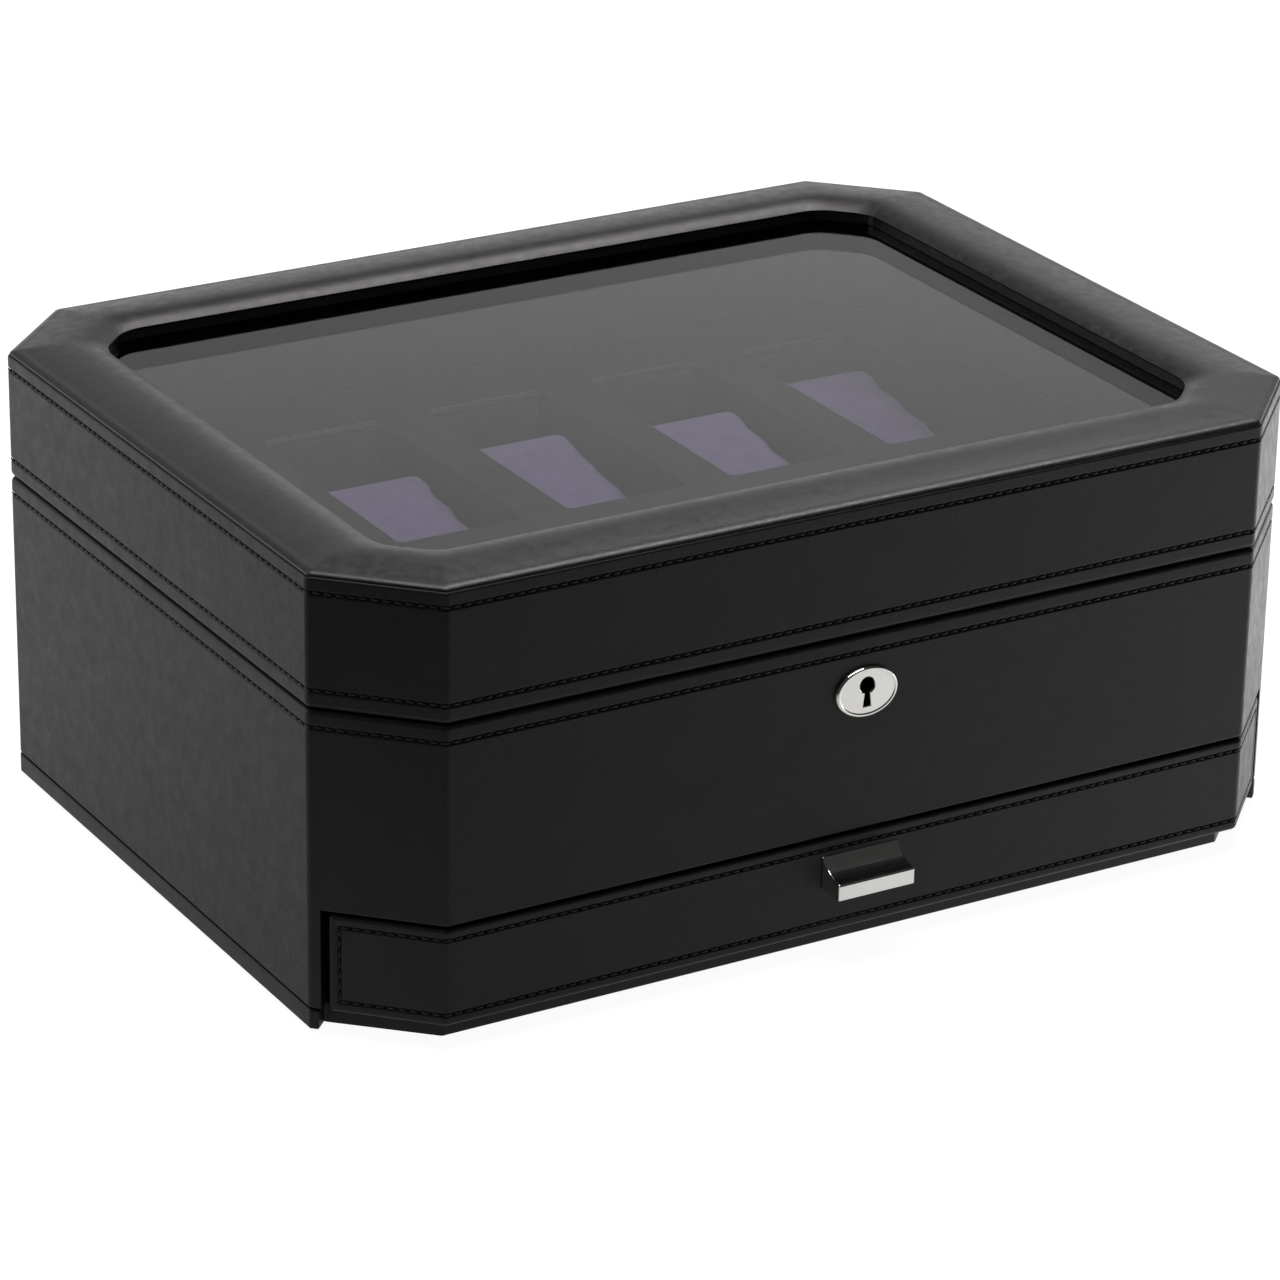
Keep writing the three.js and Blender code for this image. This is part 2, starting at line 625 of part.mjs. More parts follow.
function buildDrawer(group) {
  const innerFace = FRONT_Y + DRAWER_FRONT_THICKNESS;
  const half = DRAWER_HALF_WIDTH;
  const inside = half - DRAWER_SIDE;
  const frontEnd = innerFace + 0.1;
  const backInside = DRAWER_BACK_Y - DRAWER_SIDE;
  const wing = boxOutline(DRAWER_FRONT_THICKNESS)[0];
  const wingLine = wing.x - wing.y - GAP; // x - y along the inner face of the drawer front's wing
  add(group, 'drawer_front', drawerFront(), leather());
  const sidePlan = [
    [inside, inside - wingLine], [half, half - wingLine], [half, DRAWER_BACK_Y], [inside, DRAWER_BACK_Y],
  ].map(([x, y]) => new THREE.Vector2(x, y));
  add(group, 'drawer_side_right', prism(sidePlan, DRAWER_SIDE_FOOT, DRAWER_SIDE_TOP), board());
  add(group, 'drawer_side_left', prism(mirrorX(sidePlan), DRAWER_SIDE_FOOT, DRAWER_SIDE_TOP), board());
  const backHalf = inside - 0.1;
  const back = block(-backHalf, backHalf, backInside, DRAWER_BACK_Y, DRAWER_SIDE_FOOT, DRAWER_SIDE_TOP);
  add(group, 'drawer_back', back, board());
  const floorPlan = (margin) => {
    const x = inside - margin;
    const y = frontEnd + margin;
    const right = [[wingLine + y, y], [x, x - wingLine], [x, backInside - margin]]
      .map(([px, py]) => new THREE.Vector2(px, py));
    return [...right, ...mirrorX(right)];
  };
  add(group, 'drawer_bottom', prism(floorPlan(0.1), DRAWER_BOTTOM_FOOT, DRAWER_BOTTOM_TOP), board());
  const liningFoot = DRAWER_BOTTOM_TOP + 0.1;
  add(group, 'drawer_lining', prism(floorPlan(0.5), liningFoot, liningFoot + LINING_THICKNESS), purple());
  add(group, 'drawer_pull', drawerPull(), steel());
  for (const [name, x] of [['left', -PULL_SCREW_X], ['right', PULL_SCREW_X]]) {
    add(group, `pull_screw_${name}`, pullScrew(), steel()).position.x = x;
  }
}

// ---------------------------------------------------------------- assembly
const watchBox = new THREE.Group();
const caseGroup = new THREE.Group();
const lidGroup = new THREE.Group();
const drawerGroup = new THREE.Group();
watchBox.add(caseGroup, lidGroup, drawerGroup);

buildCase(caseGroup);
add(watchBox, 'lock_bolt', lockBolt(), steel());
buildCushions(watchBox);
buildLid(lidGroup);
buildHinges(caseGroup, lidGroup);
buildDrawer(drawerGroup);

export default watchBox;
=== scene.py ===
"""Watch box: leather case with a glazed lid, a lock and a drawer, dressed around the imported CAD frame."""

import math

import bmesh
import bpy
from mathutils import Matrix, Vector, noise
from mathutils.geometry import tessellate_polygon


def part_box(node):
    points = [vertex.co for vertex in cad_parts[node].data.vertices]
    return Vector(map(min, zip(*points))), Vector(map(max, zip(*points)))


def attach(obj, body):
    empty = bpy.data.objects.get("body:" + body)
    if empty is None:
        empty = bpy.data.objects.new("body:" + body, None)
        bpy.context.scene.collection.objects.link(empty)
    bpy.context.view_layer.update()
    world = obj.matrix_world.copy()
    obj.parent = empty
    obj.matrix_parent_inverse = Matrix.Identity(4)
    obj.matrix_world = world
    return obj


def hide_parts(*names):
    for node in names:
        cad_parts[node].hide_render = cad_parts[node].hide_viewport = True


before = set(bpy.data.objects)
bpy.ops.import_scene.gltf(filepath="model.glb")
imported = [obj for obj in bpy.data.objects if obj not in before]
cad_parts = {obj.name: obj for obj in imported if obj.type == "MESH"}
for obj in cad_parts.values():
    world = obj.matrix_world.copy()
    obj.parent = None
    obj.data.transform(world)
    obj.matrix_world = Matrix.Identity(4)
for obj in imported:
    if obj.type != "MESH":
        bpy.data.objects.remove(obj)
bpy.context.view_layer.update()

# ---------------------------------------------------------------- sizes, in metres
MM = 0.001

rail_low, rail_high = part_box("lid_rail_right")
HALF_WIDTH = rail_high.x
HALF_DEPTH = -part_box("lid_rail_front")[0].y
CUT = HALF_DEPTH - rail_high.y  # leg of the 45 degree cut at each upright corner
WALL = rail_high.x - rail_low.x
WALL_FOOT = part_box("back_panel")[0].z
CASE_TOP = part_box("back_panel")[1].z
FRONT_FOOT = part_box("front_panel")[0].z
LID_FOOT = rail_low.z
LID_TOP = rail_high.z
FRONT_Y = -HALF_DEPTH
DIAGONAL = math.sqrt(0.5)
CUT_SHRINK = 2 - math.sqrt(2)  # what a cut's leg loses when its outline moves inwards by one

CORNER_RADIUS = 3.0 * MM  # leather turning round an upright edge
CORNER_STEPS = 6
PER_CORNER = CORNER_STEPS + 1  # points of an outline at each corner
TINY = 0.2 * MM

# sewing
GROOVE_DEPTH = 0.8 * MM
GROOVE_HALF = 0.9 * MM
GROOVE_SHOULDER = 0.5 * MM
STITCH_PITCH = 3.4 * MM
STITCH_LENGTH = 2.5 * MM
CASE_STITCH_Z = CASE_TOP - 5.4 * MM
LID_LOW_STITCH_Z = LID_FOOT + 5.5 * MM
LID_HIGH_STITCH_Z = LID_TOP - 4.7 * MM
STITCH_SUNK = GROOVE_DEPTH * 0.35  # how deep the stitches sit in their groove

# drawer front
DRAWER_STITCH_MARGIN = 3.5 * MM
RETURN_STRIP = 3.5 * MM  # case leather wrapping the corner beside the drawer front
DRAWER_START = 5.6 * MM  # where the drawer front begins along the corner cut
DRAWER_THICKNESS = 9.0 * MM
END_ROUND = 1.6 * MM
BORDER_STEPS = (-0.9, -0.6, -0.3, 0.0, 0.3, 0.6, 0.9)  # stations across a sewing groove, in millimetres
BORDER_GROOVE_REACH = 0.5 * MM  # half width of that groove
PULL_TIP_HEIGHT = 5.4 * MM  # height of the pull's outer edge

# posts behind the ends of the drawer front, measured along the corner cut
POST_END = 13 * MM
POST_DEPTH = 6 * MM
POST_BACK_Y = -92 * MM

# window in the lid
WINDOW_HALF_X = 140 * MM
WINDOW_HALF_Y = 103 * MM
WINDOW_CUT = 12.6 * MM
WINDOW_RADIUS = 6 * MM
PAD_RIM_RADIUS = 15 * MM  # corner rounding of the padding's inner edge
PAD_BORDER = 0.6 * MM  # strip of lid leather left bare outside the padding
PAD_EDGE_RADIUS = 2 * MM
PAD_ROLL_AT = 0.12  # where the rolled outer edge ends, from the outer edge (0) to the window (1)
PAD_ROLL_HEIGHT = 1.3 * MM
PAD_CREST_AT = 0.64  # where the padding is highest
PAD_RIM_DROP = 2.5 * MM  # fall from the crest to the window's edge
PAD_CREST_RADIUS = 8 * MM
PAD_STEPS = 36
PAD_SPACING = 9 * MM  # length of a face along the padding
PAD_UNEVENNESS = 0.12 * MM

# wells
WELL_PITCH = 59.3 * MM
WELL_HALF_WIDTH = 20.85 * MM
WELL_HALF_LENGTH = 46.3 * MM
WELL_CENTRE_Y = 55.1 * MM  # of the back row
WELL_CORNER = 1.2 * MM
WELL_EDGE_STEPS = 6
WELL_EDGE = 1.6 * MM  # rounded leather edge of each well
LINING_THICKNESS = 0.6 * MM
# bead along each well's back edge whose pale colour paints a highlight line
HIGHLIGHT_BEAD_RADIUS = 0.5 * MM
HIGHLIGHT_BEAD_END = 1.2 * MM  # how far the highlight bead stops short of the well's corners

# keyhole, measured from the middle of the oval plate
KEY_HEAD_RADIUS = 2.55 * MM
KEY_HEAD_RISE = 2.1 * MM
KEY_NECK_HALF = 0.85 * MM
KEY_FOOT_HALF = 1.3 * MM
KEY_FOOT_DROP = 4.5 * MM
PLATE_LOW, PLATE_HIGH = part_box("escutcheon")
PLATE_CENTRE_Z = (PLATE_LOW.z + PLATE_HIGH.z) / 2

# cushions
SIM_FRAMES = 20
SHRINK = 0.5 * MM  # how much smaller than its space a cushion starts
VOXEL = 2.4 * MM
MOVE_CAP = 0.8 * MM
CUSHION_FALL = 9.5 * MM  # how much lower its front end is than its back end
CUSHION_RADIUS = 3 * MM
LOWEST_PRESSURE = 4.0
PRESSURE_STEP = 0.4  # neighbouring cushions are plumped a little differently

# studio
ROOM_DIM = 0.04  # strength of the room in front
ROOM_BRIGHT = 1.1  # strength of the sweep behind the object
FLOOR_SEEN = 0.95  # glow of the floor as the camera sees it
FLOOR_GLOW = 0.85  # glow of the floor under the middle of the object
FLOOR_GROWTH = 2.1  # per metre, as an exponent
FLOOR_SLANT = 1.3  # growth to the right, as a share of the growth to the back
FLOOR_MOST = 1.8
FLOOR_HALF = 4.0  # half the floor's width


# ---------------------------------------------------------------- node materials
class Nodes:
    """Short way to write a node tree."""

    def __init__(self, name):
        self.material = bpy.data.materials.new(name)
        self.material.use_nodes = True
        self.tree = self.material.node_tree
        self.tree.nodes.clear()
        self.output = self.tree.nodes.new("ShaderNodeOutputMaterial")
        self.place = self.add("TexCoord").outputs["Object"]

    def add(self, kind, **settings):
        node = self.tree.nodes.new("ShaderNode" + kind)
        for key, value in settings.items():
            setattr(node, key, value)
        return node

    def link(self, source, target):
        self.tree.links.new(source, target)

    def give(self, socket, value):
        """Links a socket to another node's output, or sets it to a plain value."""
        if isinstance(value, bpy.types.NodeSocket):
            self.link(value, socket)
        else:
            socket.default_value = value

    def feed(self, node, **inputs):
        """Gives a node its inputs; an underscore in a name stands for a space."""
        for key, value in inputs.items():
            self.give(node.inputs[key.replace("_", " ")], value)
        return node

    def noise(self, size, detail=3.0, rough=0.5):
        """Noise whose blotches are about size metres across."""
        node = self.feed(self.add("TexNoise"), Vector=self.place, Scale=1 / size)
        return self.feed(node, Detail=detail, Roughness=rough).outputs["Fac"]

    def cells(self, size):
        """Soft-edged pebbles about size metres across."""
        node = self.add("TexVoronoi", feature="SMOOTH_F1")
        return self.feed(node, Vector=self.place, Scale=1 / size).outputs["Distance"]

    def stretch(self, value, low, high, to_low=0.0, to_high=1.0):
        node = self.add("MapRange")
        ends = {"From_Min": low, "From_Max": high, "To_Min": to_low, "To_Max": to_high}
        return self.feed(node, Value=value, **ends).outputs["Result"]

    def calculate(self, operation, *values):
        node = self.add("Math", operation=operation)
        for socket, value in zip(node.inputs, values):
            self.give(socket, value)
        return node.outputs[0]

    def mix(self, factor, first, second):
        node = self.add("Mix", data_type="RGBA")
        for number, value in ((0, factor), (6, first), (7, second)):  # sockets of a Mix node set to RGBA
            self.give(node.inputs[number], value)
        return node.outputs[2]

    def bump(self, height, distance, strength=1.0, below=None):
        node = self.feed(self.add("Bump"), Height=height, Distance=distance, Strength=strength)
        if below is not None:
            self.link(below, node.inputs["Normal"])
        return node.outputs["Normal"]

    def principled(self, **inputs):
        node = self.feed(self.add("BsdfPrincipled"), **inputs)
        self.link(node.outputs["BSDF"], self.output.inputs["Surface"])
        return self.material


def grey(value):
    return (value, value, value, 1.0)


WARM_TINT = (1.0, 0.945, 0.955, 1.0)  # of what the leather mirrors


def warm(value):
    """Near-black with a trace of red, like dyed leather under white light."""
    return (value * 1.10, value * 0.96, value, 1.0)


def leather(name, base, light, roughness, grain, depth, specular):
    """Fine-grained satin leather: pebbles, soft unevenness, and convex edges painted paler, partly as wear
    and partly as a painted highlight.
    """
    n = Nodes(name)
    pebbles = n.cells(grain)
    fine = n.noise(grain * 0.6, 4.0, 0.6)
    creased = n.noise(grain * 5, 4.0, 0.65)
    broad = n.noise(grain * 16, 3.0)
    # paler convex edges: partly wear, partly a painted highlight on the rounded edges
    edge_wear_and_highlight = n.stretch(n.add("NewGeometry").outputs["Pointiness"], 0.5, 0.62)
    tone = n.mix(n.stretch(broad, 0.3, 0.7), warm(base), warm(light))
    tone = n.mix(n.stretch(creased, 0.45, 0.75, 0.0, 0.5), tone, warm(light * 1.6))
    tone = n.mix(n.stretch(pebbles, 0.2, 0.8, 0.0, 0.35), tone, warm(base * 0.4))
    tone = n.mix(n.stretch(edge_wear_and_highlight, 0.0, 1.0, 0.0, 0.35), tone, warm(light * 2.5))
    normal = n.bump(broad, grain * 0.25, 0.35)
    normal = n.bump(creased, grain * 0.10, 0.4, normal)
    normal = n.bump(pebbles, depth, 0.6, normal)
    normal = n.bump(fine, depth * 0.4, 0.35, normal)
    rough = n.stretch(creased, 0.25, 0.75, roughness - 0.07, roughness + 0.09)
    sheen = {"Specular_IOR_Level": specular, "Specular_Tint": WARM_TINT}
    return n.principled(Base_Color=tone, Roughness=rough, Normal=normal, **sheen)


def thread(name):
    n = Nodes(name)
    twist = n.noise(0.25 * MM, 2.0)
    return n.principled(
        Base_Color=n.mix(twist, grey(0.006), grey(0.016)),
        Roughness=0.55,
        Specular_IOR_Level=0.3,
        Normal=n.bump(twist, 0.05 * MM, 0.6),
    )


def suede(name, base, light, sheen):
    """Short-napped cloth, brushed unevenly."""
    n = Nodes(name)
    nap = n.noise(0.35 * MM, 3.0, 0.7)
    brushed = n.noise(7 * MM, 3.0)
    tone = n.mix(n.stretch(brushed, 0.3, 0.7), base, light)
    tone = n.mix(n.stretch(nap, 0.3, 0.7, 0.0, 0.35), tone, tuple(c * 0.5 for c in base[:3]) + (1.0,))
    normal = n.bump(nap, 0.12 * MM, 0.6)
    return n.principled(
        Base_Color=tone,
        Roughness=0.95,
        Specular_IOR_Level=0.1,
        Sheen_Weight=sheen,
        Sheen_Roughness=0.5,
        Sheen_Tint=light,
        Normal=normal,
    )


def board(name):
    """Black paper-covered board with a fine linen emboss."""
    n = Nodes(name)
    warp = n.feed(n.add("TexWave", wave_type="BANDS", bands_direction="X"), Vector=n.place, Scale=300.0)
    weft = n.feed(n.add("TexWave", wave_type="BANDS", bands_direction="Z"), Vector=n.place, Scale=300.0)
    linen = n.calculate("MULTIPLY", warp.outputs["Fac"], weft.outputs["Fac"])
    blotch = n.noise(9 * MM)
    return n.principled(
        Base_Color=n.mix(blotch, grey(0.008), grey(0.016)),
        Roughness=n.stretch(blotch, 0.3, 0.7, 0.55, 0.7),
        Specular_IOR_Level=0.3,
        Normal=n.bump(linen, 0.06 * MM, 0.5),
    )


def gloss_black(name):
    n = Nodes(name)
    smear = n.noise(14 * MM, 4.0)
    return n.principled(
        Base_Color=warm(0.006),
        Roughness=n.stretch(smear, 0.3, 0.7, 0.18, 0.3),
        Specular_IOR_Level=0.4,
        Normal=n.bump(n.noise(5 * MM), 0.05 * MM, 0.3),
    )


def polished_metal(name, tone, roughness):
    """Bright plated metal with hairline wear."""
    n = Nodes(name)
    stretched = n.feed(n.add("Mapping"), Vector=n.place, Scale=(60.0, 1500.0, 1500.0)).outputs["Vector"]
    hairline = n.feed(n.add("TexNoise"), Vector=stretched, Scale=1.0, Detail=3.0).outputs["Fac"]
    haze = n.noise(3 * MM, 3.0)
    rough = n.stretch(haze, 0.3, 0.7, roughness * 0.7, roughness * 1.5)
    return n.principled(
        Base_Color=n.mix(haze, tone, tuple(c * 0.92 for c in tone[:3]) + (1.0,)),
        Metallic=1.0,
        Roughness=rough,
        Normal=n.bump(hairline, 0.004 * MM, 0.4),
    )


def window_glass(name):
    """Clear pane: light passes straight through, and a share of it mirrors the room."""
    n = Nodes(name)
    smear = n.noise(30 * MM, 4.0)
    leaving = n.add("NewGeometry").outputs["Backfacing"]
    fresnel = n.feed(n.add("Fresnel"), IOR=n.stretch(leaving, 0.0, 1.0, 1.33, 1 / 1.33)).outputs["Fac"]
    share = n.stretch(fresnel, 0.0, 1.0, 0.0, 0.92)
    clear = n.feed(n.add("BsdfTransparent"), Color=(0.90, 0.915, 0.905, 1.0))
    rough = n.stretch(smear, 0.3, 0.7, 0.015, 0.05)
    mirror = n.feed(n.add("BsdfGlossy"), Color=grey(1.0), Roughness=rough)
    both = n.add("MixShader")
    n.link(share, both.inputs[0])
    n.link(clear.outputs[0], both.inputs[1])
    n.link(mirror.outputs[0], both.inputs[2])
    n.link(both.outputs[0], n.output.inputs["Surface"])
    return n.material


PURPLE = (0.150, 0.105, 0.215, 1.0)
PALE_PURPLE = (0.185, 0.135, 0.255, 1.0)
FINISH = {
    # leather: base and pale tone, roughness, size and depth of the grain, specular level
    "case_leather": leather("case_leather", 0.0060, 0.0095, 0.42, 0.9 * MM, 0.07 * MM, 0.27),
    "pad_leather": leather("pad_leather", 0.0070, 0.0105, 0.38, 0.8 * MM, 0.05 * MM, 0.50),
    "tray_leather": leather("tray_leather", 0.0070, 0.0085, 0.34, 0.5 * MM, 0.010 * MM, 0.45),
    "purple_suede": suede("purple_suede", PURPLE, PALE_PURPLE, 0.25),
    # the cushions' purple darkened for the well and lid linings: painted shade
    "shaded_lining_suede": suede("shaded_lining_suede", (0.060, 0.050, 0.078, 1.0), (0.078, 0.066, 0.098, 1.0), 0.2),
    "black_felt": suede("black_felt", grey(0.010), grey(0.018), 0.1),
    "black_board": board("black_board"),
    "gloss_black": gloss_black("gloss_black"),
    "window_glass": window_glass("window_glass"),
    "black_thread": thread("black_thread"),
    # pale glossy leather of the well-edge bead: a painted highlight line
    "highlight_bead": leather("highlight_bead_leather", 0.045, 0.060, 0.30, 0.5 * MM, 0.008 * MM, 0.8),
    "polished_metal": polished_metal("polished_metal", (0.83, 0.82, 0.79, 1.0), 0.09),
}


# ---------------------------------------------------------------- outlines
def rounded(points, steps=CORNER_STEPS):
    """Closed line through corners (x, y, radius), with an arc at each corner that has a radius."""
    line = []
    for i, (x, y, radius) in enumerate(points):
        here = Vector((x, y))
        if radius <= 0:
            line.append((x, y))
            continue
        before = Vector(points[i - 1][:2]) - here
        after = Vector(points[(i + 1) % len(points)][:2]) - here
        half = before.angle(after) / 2
        trim = min(radius / math.tan(half), 0.49 * before.length, 0.49 * after.length)
        start = before.normalized() * trim
        end = after.normalized() * trim
        reach = trim / math.cos(half)
        centre = (start + end).normalized() * reach
        arm = start - centre
        turn = (math.pi - 2 * half) * (1 if arm.cross(end - centre) > 0 else -1)
        for k in range(steps + 1):
            line.append(tuple(here + centre + Matrix.Rotation(turn * k / steps, 2) @ arm))
    return line


def cut_rectangle(half_x, half_y, leg, radius):
    """Rectangle with 45 degree corner cuts, anticlockwise from the front right, all eight corners rounded."""
    corners = []
    for sx, sy in ((1, -1), (1, 1), (-1, 1), (-1, -1)):
        near_y = (sx * (half_x - leg), sy * half_y)
        near_x = (sx * half_x, sy * (half_y - leg))
        corners += [near_y, near_x] if sx * sy < 0 else [near_x, near_y]
    return rounded([(x, y, radius) for x, y in corners])


def box_outline(inset):
    """The box's plan outline moved inwards."""
    leg = CUT - inset * CUT_SHRINK
    return cut_rectangle(HALF_WIDTH - inset, HALF_DEPTH - inset, leg, max(CORNER_RADIUS - inset, TINY))


def corner_point(along, inset):
    """Point by the front right corner cut: along it from the side corner, and inwards."""
    x = HALF_WIDTH - DIAGONAL * (along + inset)
    y = FRONT_Y + CUT + DIAGONAL * (inset - along)
    return x, y


def mirrored(points):
    return [(-x, y) for x, y in reversed(points)]


def window_outline(grow):
    leg = WINDOW_CUT + grow * CUT_SHRINK
    return cut_rectangle(WINDOW_HALF_X + grow, WINDOW_HALF_Y + grow, leg, WINDOW_RADIUS)


def divide(outline, counts):
    """Splits each edge of a closed outline into the given number of equal parts."""
    result = []
    for i, count in enumerate(counts):
        a = Vector(outline[i])
        b = Vector(outline[(i + 1) % len(outline)])
        result += [tuple(a.lerp(b, k / count)) for k in range(count)]
    return result


def edge_counts(outline, spacing):
    """How many parts of about the given length each edge of a closed outline takes."""
    ends = outline[1:] + outline[:1]
    return [max(1, round((Vector(b) - Vector(a)).length / spacing)) for a, b in zip(outline, ends)]


def grooves(*heights):
    """Profile points of sewing grooves in an outer face, at rising heights."""
    line = []
    for z in heights:
        low = (0.0, z - GROOVE_HALF, GROOVE_SHOULDER)
        high = (0.0, z + GROOVE_HALF, GROOVE_SHOULDER)
        line += [low, (GROOVE_DEPTH, z, TINY), high]
    return line


def wall_profile(foot, top, *groove_heights, foot_radius=1.0 * MM, top_radius=1.6 * MM):
    """Closed cross-section of a leather-covered wall: (inset, height) from the outer foot up and over."""
    corners = [(0.0, foot, foot_radius), *grooves(*groove_heights), (0.0, top, top_radius)]
    corners += [(WALL, top, top_radius), (WALL, foot, foot_radius)]
    return rounded(corners, steps=4)


# ---------------------------------------------------------------- meshes
def level(outline, z):
    return [(x, y, z) for x, y in outline]


def loft(mesh, rows, wrap_rows=True, wrap_points=True):
    """Skin through rows of points with equal counts; open ends get flat caps."""
    made = [[mesh.verts.new(p) for p in row] for row in rows]
    count = len(made[0])
    following = made[1:] + made[:1] if wrap_rows else made[1:]
    for here, there in zip(made, following):
        for i in range(count if wrap_points else count - 1):
            j = (i + 1) % count
            mesh.faces.new((here[i], here[j], there[j], there[i]))
    if not wrap_points:
        mesh.faces.new([row[0] for row in made])
        mesh.faces.new([row[-1] for row in reversed(made)])
    if not wrap_rows and wrap_points:
        mesh.faces.new(list(reversed(made[0])))
        mesh.faces.new(made[-1])
    return made


def open_loft(mesh, rows):
    """Tube through closed loops, with both ends left for the caller to fill."""
    made = [[mesh.verts.new(p) for p in row] for row in rows]
    for here, there in zip(made, made[1:]):
        for i in range(len(here)):
            j = (i + 1) % len(here)
            mesh.faces.new((here[i], here[j], there[j], there[i]))
    return made


def fill(mesh, *loops):
    """Flat triangulated face between an outer loop of vertices and its holes."""
    flat = [v for loop in loops for v in loop]
    for triangle in tessellate_polygon([[v.co for v in loop] for loop in loops]):
        mesh.faces.new([flat[i] for i in triangle])


def shade(data, angle):
    data.polygons.foreach_set("use_smooth", [True] * len(data.polygons))
    data.set_sharp_from_angle(angle=math.radians(angle))


def make_object(name, mesh):
    """New object in the scene from a bmesh, which is used up."""
    data = bpy.data.meshes.new(name)
    mesh.to_mesh(data)
    mesh.free()
    obj = bpy.data.objects.new(name, data)
    bpy.context.scene.collection.objects.link(obj)
    return obj


def piece(name, mesh, finish, body, replaces=(), angle=50, bevel=0.0):
    """Turns a bmesh into a named object that rides on a CAD body and stands for CAD nodes."""
    bmesh.ops.recalc_face_normals(mesh, faces=mesh.faces)
    obj = make_object(name, mesh)
    obj.data.materials.append(FINISH[finish])
    shade(obj.data, angle)
    soften(obj, bevel)
    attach(obj, body)
    if replaces:
        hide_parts(*replaces)
    return obj


def soften(obj, bevel):
    """Rounds the sharp edges and keeps flat faces flat in the shading."""
    if bevel:
        edge = obj.modifiers.new("edge", "BEVEL")
        edge.width = bevel
        edge.segments = 3
        edge.limit_method = "ANGLE"
        edge.angle_limit = math.radians(30)
    normals = obj.modifiers.new("normals", "WEIGHTED_NORMAL")
    normals.keep_sharp = True
    normals.weight = 80


def carve(obj, *cutters):
    """Cuts closed meshes out of an object."""
    for cutter in cutters:
        cut = obj.modifiers.new("cut", "BOOLEAN")
        cut.operation = "DIFFERENCE"
        cut.solver = "EXACT"
        cut.object = cutter
        obj.modifiers.move(obj.modifiers.find("cut"), 0)
        bpy.context.view_layer.objects.active = obj
        bpy.ops.object.modifier_apply(modifier="cut")
        bpy.data.objects.remove(cutter)
    shade(obj.data, 40)


def cutter(rows):
    """Closed mesh through rows of points, used only to cut."""
    mesh = bmesh.new()
    loft(mesh, rows, wrap_rows=False)
    bmesh.ops.recalc_face_normals(mesh, faces=mesh.faces)
    return make_object("cutter", mesh)


def block_rows(low, high):
    """Rows of a box between two opposite corners."""
    x0, y0, z0 = low
    x1, y1, z1 = high
    corners = [(x0, y0), (x1, y0), (x1, y1), (x0, y1)]
    return [level(corners, z0), level(corners, z1)]


def prism(mesh, outline, z0, z1):
    loft(mesh, [level(outline, z0), level(outline, z1)], wrap_rows=False)


# ---------------------------------------------------------------- sewing
def walk(path, closed):
    """Evenly spaced (point, direction) along a line of points, about one stitch pitch apart."""
    points = [Vector(p) for p in path]
    if closed:
        points.append(points[0])
    lengths = [(b - a).length for a, b in zip(points, points[1:])]
    total = sum(lengths)
    count = round(total / STITCH_PITCH)
    places = []
    walked = 0.0
    segment = 0
    for k in range(count):
        target = total * (k + 0.5) / count
        while walked + lengths[segment] < target:
            walked += lengths[segment]
            segment += 1
        a, b = points[segment], points[segment + 1]
        places.append((a.lerp(b, (target - walked) / lengths[segment]), (b - a).normalized()))
    return places


# one stitch: (place along it, share of the full girth, lift in millimetres)
STITCH_SHAPE = (
    (-0.5, 0.45, -0.30),
    (-0.36, 0.95, 0.0),
    (0.0, 1.0, 0.06),
    (0.36, 0.95, 0.0),
    (0.5, 0.45, -0.30),
)
STITCH_HALF_WIDTH = 0.36 * MM
STITCH_HALF_HEIGHT = 0.26 * MM
STITCH_SIDES = 6
STITCH_LEAN = 0.12


def sew(mesh, path, outward, closed=True):
    """Adds thread stitches along a path; outward gives the surface's direction at a point."""
    for centre, along in walk(path, closed):
        out = outward(centre, along)
        across = out.cross(along)
        lean = noise.noise(centre * 900) * STITCH_LEAN
        along = (along + across * lean).normalized()
        rows = []
        for reach, girth, lift in STITCH_SHAPE:
            middle = centre + along * reach * STITCH_LENGTH + out * lift * MM
            ring = []
            for k in range(STITCH_SIDES):
                angle = math.tau * k / STITCH_SIDES
                wide = across * math.cos(angle) * STITCH_HALF_WIDTH * girth
                tall = out * math.sin(angle) * STITCH_HALF_HEIGHT * girth
                ring.append(middle + wide + tall)
            rows.append(ring)
        loft(mesh, rows, wrap_rows=False)


def level_outward(centre, along):
    """Outward direction of an upright wall whose outline runs anticlockwise."""
    return along.cross(Vector((0, 0, 1))).normalized()


# ---------------------------------------------------------------- case
def ring_rows(profile):
    """Rows that follow the box's outline, from a cross-section of (inset, height)."""
    return [level(box_outline(inset), z) for inset, z in profile]


def side_run(inset):
    """Plan line from the right return strip round the back to the left return strip."""
    end = corner_point(RETURN_STRIP, inset)
    return [end, *box_outline(inset)[PER_CORNER : 7 * PER_CORNER], *mirrored([end])]


def front_run(inset, end):
    """Plan line along the left wing, the front and the right wing, where it ends at the given point."""
    right = [*box_outline(inset)[:PER_CORNER], end]
    return [*mirrored(right), *right]


def keyhole(grow):
    """Keyhole outline about the middle of the oval plate, as (x, z)."""
    radius = KEY_HEAD_RADIUS + grow
    meet = math.asin((KEY_NECK_HALF + grow) / radius)
    points = [(-KEY_FOOT_HALF - grow, -KEY_FOOT_DROP - grow), (KEY_FOOT_HALF + grow, -KEY_FOOT_DROP - grow)]
    steps = 28
    for k in range(steps + 1):
        angle = meet - math.pi / 2 + (math.tau - 2 * meet) * k / steps
        points.append((radius * math.cos(angle), KEY_HEAD_RISE + radius * math.sin(angle)))
    return points


def stand(points, y):
    """Places (x, z) points about the plate's middle on an upright plane."""
    return [(x, y, PLATE_CENTRE_Z + z) for x, z in points]


def bolt_slot(low_z, high_z):
    """Cutter for the space the lock bolt slides in."""
    low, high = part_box("lock_bolt")
    room = 0.3 * MM
    return cutter(block_rows((low.x - room, low.y - room, low_z), (high.x + room, high.y + room, high_z)))


